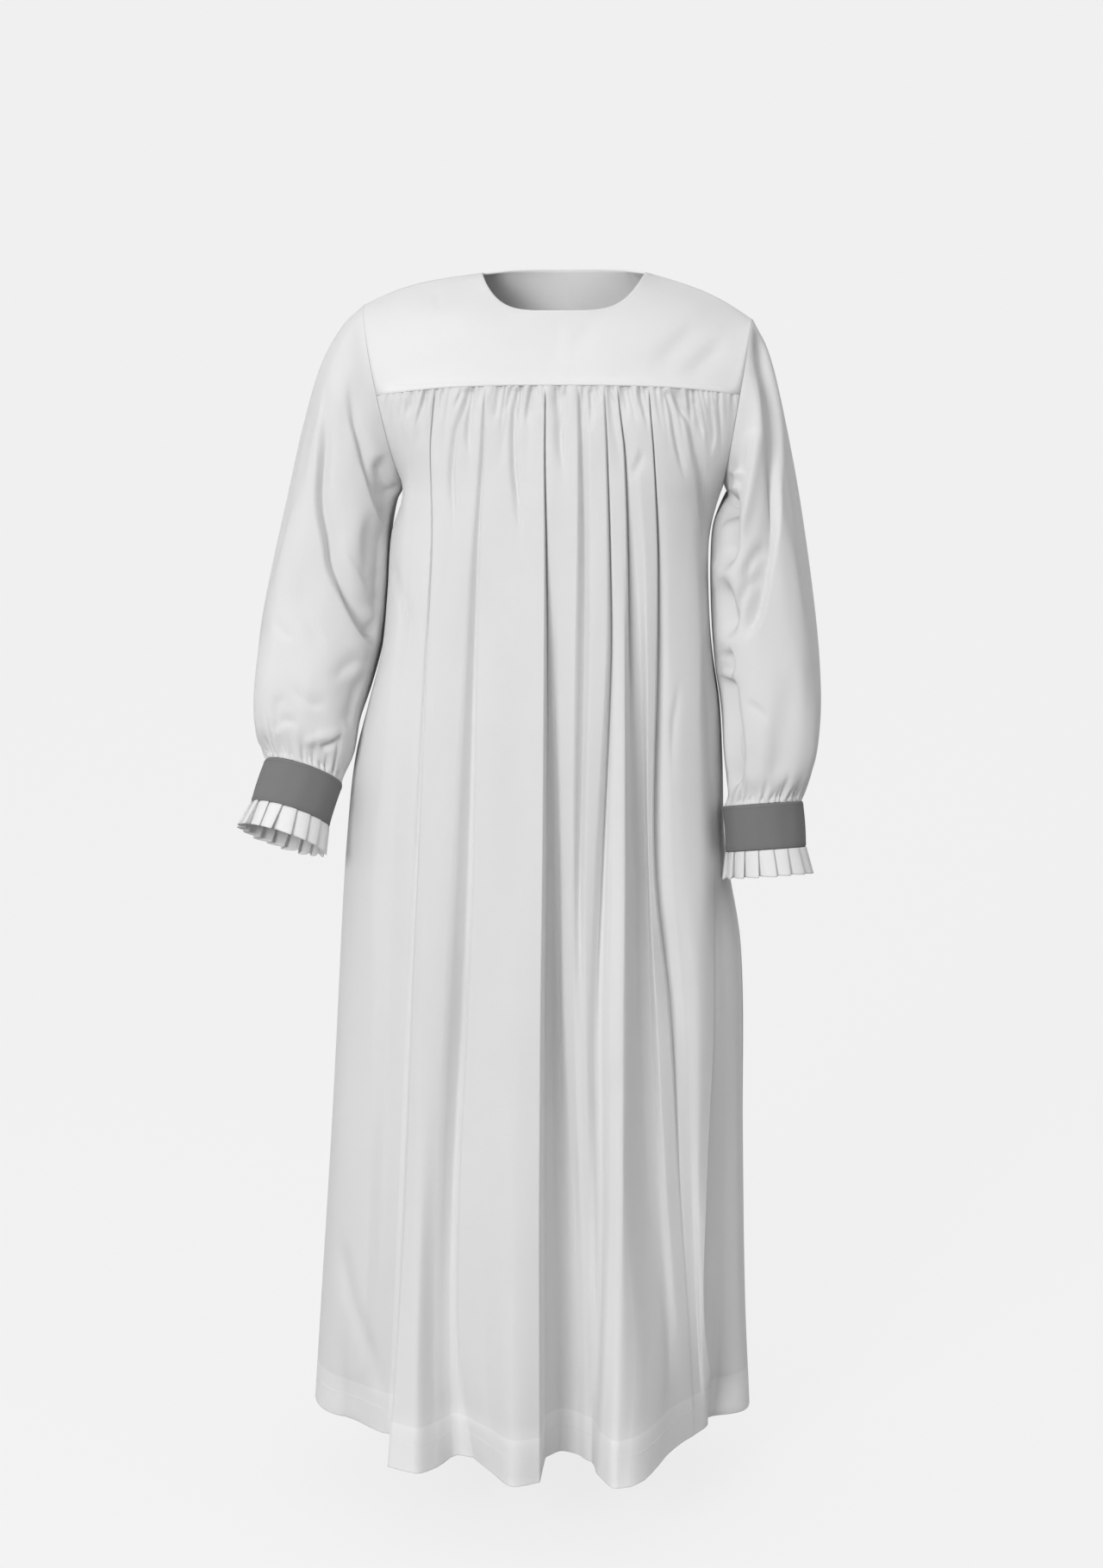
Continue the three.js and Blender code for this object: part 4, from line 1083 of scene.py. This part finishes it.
class Value:
    """A shader socket that takes part in sums; each sum adds its Math node."""

    def __init__(self, shader, socket):
        self.shader, self.socket = shader, socket

    def math(self, operation, *values):
        return self.shader.add("ShaderNodeMath", {"operation": operation}, dict(enumerate(values)))

    def __add__(self, other):
        return self.math("ADD", self, other)

    def __sub__(self, other):
        return self.math("SUBTRACT", self, other)

    def __rsub__(self, other):
        return self.math("SUBTRACT", other, self)

    def __mul__(self, other):
        return self.math("MULTIPLY", self, other)

    def sine(self):
        return self.math("SINE", self)

    def above(self, limit):
        return self.math("GREATER_THAN", self, limit)

    __radd__ = __add__
    __rmul__ = __mul__


class Shader:
    """A material whose nodes are added one by one."""

    def __init__(self, name):
        self.material = bpy.data.materials.new(name)
        self.material.use_nodes = True
        self.tree = self.material.node_tree
        self.surface = self.tree.nodes["Principled BSDF"]

    def node(self, kind, settings, inputs):
        node = self.tree.nodes.new(kind)
        for name, value in settings.items():
            setattr(node, name, value)
        for name, value in inputs.items():
            self.feed(node.inputs[name], value)
        return node

    def add(self, kind, settings, inputs, output=0):
        return Value(self, self.node(kind, settings, inputs).outputs[output])

    def feed(self, socket, value):
        if isinstance(value, Value):
            self.tree.links.new(value.socket, socket)
        else:
            socket.default_value = value

    def blend(self, factor, a, b, way="MIX"):
        return self.add("ShaderNodeMix", {"data_type": "RGBA", "blend_type": way},
                        {"Factor": factor, "A": a, "B": b}, "Result")

    def bump(self, height, strength, distance):
        return self.add("ShaderNodeBump", {}, {"Strength": strength, "Distance": distance,
                                               "Height": height}, "Normal")

    def finished(self, **inputs):
        """The material, with the surface's inputs given by name."""
        for name, value in inputs.items():
            self.feed(self.surface.inputs[name.replace("_", " ")], value)
        return self.material


def cotton(name, colour, roughness, hem=None):
    """Plain-woven cotton: crossing threads, thicker threads here and there, faint mottling.
    Where `hem` is given, the cloth is doubled and that colour for a hem's depth from its end."""
    shader = Shader(name)
    place = shader.add("ShaderNodeTexCoord", {}, {}, "UV")
    parts = shader.node("ShaderNodeSeparateXYZ", {}, {"Vector": place})
    u, v = (Value(shader, parts.outputs[axis]) for axis in "XY")
    turns = 2 * math.pi / THREAD_PITCH
    weave = (u * turns).sine() * (v * turns).sine()

    def threads(across, along, seed):
        stretched = shader.add("ShaderNodeCombineXYZ", {}, {"X": u * across, "Y": v * along,
                                                            "Z": seed})
        return shader.add("ShaderNodeTexNoise", {}, {"Vector": stretched, "Scale": 1.0,
                                                     "Detail": 2.0}, "Fac")

    warp = threads(SLUBS_ACROSS, SLUBS_ALONG, 0.0)
    weft = threads(SLUBS_ALONG, SLUBS_ACROSS, 4.0)
    mottle = threads(MOTTLES, MOTTLES, 9.0)
    relief = weave * WEAVE_RELIEF + warp * SLUB_RELIEF + weft * SLUB_RELIEF
    tone = mottle * 0.4 + warp * 0.35 + weft * 0.25
    main = shader.blend((v + HEM_DEPTH * MM).above(0.0), colour, hem) if hem else colour
    shade = shader.blend(1.0, main, DARKER, "MULTIPLY")
    return shader.finished(
        Base_Color=shader.blend(tone, shade, main),
        Normal=shader.bump(relief, RELIEF_STRENGTH, RELIEF_DEPTH),
        Roughness=roughness,
        Specular_IOR_Level=0.2,
        Sheen_Weight=0.08,
        Sheen_Roughness=0.6,
    )


def thread(name, colour):
    """Sewing thread: plain, with a slight sheen and its twist as fine ridges."""
    shader = Shader(name)
    place = shader.add("ShaderNodeTexCoord", {}, {}, "Object")
    twist = shader.add("ShaderNodeTexNoise", {}, {"Vector": place, "Scale": 4000.0}, "Fac")
    return shader.finished(Base_Color=colour, Normal=shader.bump(twist, 0.3, 0.0001),
                           Roughness=0.6)


# ---------- studio ----------

BACKDROP = 0.871             # the pale tone behind and below the garment
SKY = 0.72                   # light that comes from all round
FLOOR_LIGHT = 0.18           # light that comes up from the floor by itself
FLOOR_WHITE = 0.10
FLOOR_BELOW_HEM = 95
FLOOR_HALF_WIDTH = 60000
LAMP_AT = Vector((-1300, -3400, 600))
LAMP_TOWARDS = Vector((0, 0, -450))
LAMP_WATTS = 76
LAMP_SIZE = 1.2

CAMERA_AT = Vector((174.1, -2694.4, -158))
CAMERA_AZIMUTH = math.radians(4)
CAMERA_PITCH = math.atan(430 / 2780)
CAMERA_LENS = 54.99
CAMERA_SENSOR = 36


def aim(thing, at, looks, axis):
    """Put a camera or lamp in its place and turn one of its axes the way it looks."""
    thing.location = at * MM
    thing.rotation_mode = "QUATERNION"
    thing.rotation_quaternion = looks.to_track_quat(axis, "Y")


def make_camera():
    data = bpy.data.cameras.new("camera")
    data.lens = CAMERA_LENS
    data.sensor_width = CAMERA_SENSOR
    camera = put("camera", data)
    looks = Vector((
        -math.sin(CAMERA_AZIMUTH) * math.cos(CAMERA_PITCH),
        math.cos(CAMERA_AZIMUTH) * math.cos(CAMERA_PITCH),
        -math.sin(CAMERA_PITCH),
    ))
    aim(camera, CAMERA_AT, looks, "-Z")
    bpy.context.scene.camera = camera


def make_light():
    scene = bpy.context.scene
    scene.view_settings.view_transform = "Standard"
    scene.world = scene.world or bpy.data.worlds.new("studio")
    scene.world.use_nodes = True
    tree = scene.world.node_tree
    background = tree.nodes["Background"]
    background.inputs["Color"].default_value = grey(SKY)
    seen = tree.nodes.new("ShaderNodeBackground")
    seen.inputs["Color"].default_value = grey(BACKDROP)
    path = tree.nodes.new("ShaderNodeLightPath")
    either = tree.nodes.new("ShaderNodeMixShader")
    tree.links.new(path.outputs["Is Camera Ray"], either.inputs["Fac"])
    tree.links.new(background.outputs[0], either.inputs[1])
    tree.links.new(seen.outputs[0], either.inputs[2])
    tree.links.new(either.outputs[0], tree.nodes["World Output"].inputs["Surface"])
    data = bpy.data.lights.new("softbox", "AREA")
    data.shape = "SQUARE"
    data.size = LAMP_SIZE
    data.energy = LAMP_WATTS
    aim(put("softbox", data), LAMP_AT, LAMP_AT - LAMP_TOWARDS, "Z")


def make_floor():
    """A pale floor that far from the garment looks just like the background."""
    size, z = FLOOR_HALF_WIDTH * MM, (HEM_Z - FLOOR_BELOW_HEM) * MM
    mesh = bpy.data.meshes.new("floor")
    corners = [(-size, -size, z), (size, -size, z), (size, size, z), (-size, size, z)]
    mesh.from_pydata(corners, [], [(0, 1, 2, 3)])
    shader = Shader("Pale floor")
    seen = shader.add("ShaderNodeLightPath", {}, {}, "Is Camera Ray")
    glow = BACKDROP - FLOOR_WHITE * SKY
    mesh.materials.append(shader.finished(
        Base_Color=grey(FLOOR_WHITE),
        Emission_Color=shader.blend(seen, grey(FLOOR_LIGHT), grey(glow)),
        Emission_Strength=1,
        Roughness=1,
        Specular_IOR_Level=0,
    ))
    put("floor", mesh)


# ---------- the garment ----------

# What shows of each piece's cut: its flat width and length in metres, its area in square metres
# where it isn't a rectangle, how it is held, and what it hangs from.
Cut = namedtuple("Cut", "width length area held hangs_from")


def fasten(piece, node):
    """Let a piece ride the frame in place of its solid."""
    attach(piece, "root")
    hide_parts(node)


make_camera()
make_light()
make_floor()
white = cotton("White cotton", WHITE, 0.86, hem=HEM_WHITE)
doubled = cotton("Doubled white cotton", DOUBLED_WHITE, 0.82)
band = cotton("Grey band cloth", BAND_GREY, 0.9)
frill_white = cotton("Frill cotton", FRILL_WHITE, 0.84)
white_rows, grey_rows = [], []

for face in ("front", "back"):
    flip = face == "back"
    points = yoke_grid(face)
    width, depth = YOKE_CLOTH
    yoke = cloth(f"yoke_cloth_{face}", points, width, np.linspace(0, depth, len(points)),
                 DOUBLE, doubled, flip=flip)
    fasten(yoke, f"yoke_{face}")
    corner = round(CORNER * YOKE_COLUMNS) + 1
    white_rows.append(stitch_row(points, -1 - STITCHES_IN, slice(corner, -corner), flip=flip))
    white_rows.append(stitch_row(points, STITCHES_IN, slice(2, -2), flip=flip))

    points = body_grid(face)
    rows = body_rows(face)
    body = cloth(f"body_cloth_{face}", points, BODY_CLOTH_WIDTH, rows - rows[-1], SINGLE, white,
                 flip=flip)
    fasten(body, f"body_{face}")
    white_rows.append(stitch_row(points, -1 - HEM_STITCHES_UP, flip=flip))

for side in ("left", "right"):
    tube = {"ring": True, "flip": side == "right"}
    points = sleeve_grid(side)
    sleeve = cloth(f"sleeve_cloth_{side}", points, SLEEVE_CLOTH_WIDTH,
                   np.linspace(*SLEEVE_CLOTH_ENDS, len(points)), SINGLE, white, **tube)
    fasten(sleeve, f"sleeve_{side}")

    points = cuff_grid(side)
    cuff = cloth(f"cuff_cloth_{side}", points, CUFF_CLOTH_WIDTH,
                 np.linspace(0, CUFF_DEPTH, len(points)), DOUBLE, band, **tube)
    fasten(cuff, f"cuff_{side}")
    grey_rows += [stitch_row(points, row, **tube) for row in (STITCHES_IN, -1 - STITCHES_IN)]

    points = frill_grid(side)
    frill = cloth(f"frill_cloth_{side}", points, FRILL_CLOTH_WIDTH,
                  np.linspace(0, FRILL_DEPTH, len(points)), FRILL_CLOTH, frill_white, **tube)
    fasten(frill, f"frill_{side}")

for name, rows, finish, slot in (
    ("white_stitches", white_rows, thread("White thread", WHITE_THREAD), "white_cotton"),
    ("grey_stitches", grey_rows, thread("Grey thread", GREY_THREAD), "grey_band"),
):
    stitches = make_stitches(name, rows, finish)
    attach(stitches, "root")
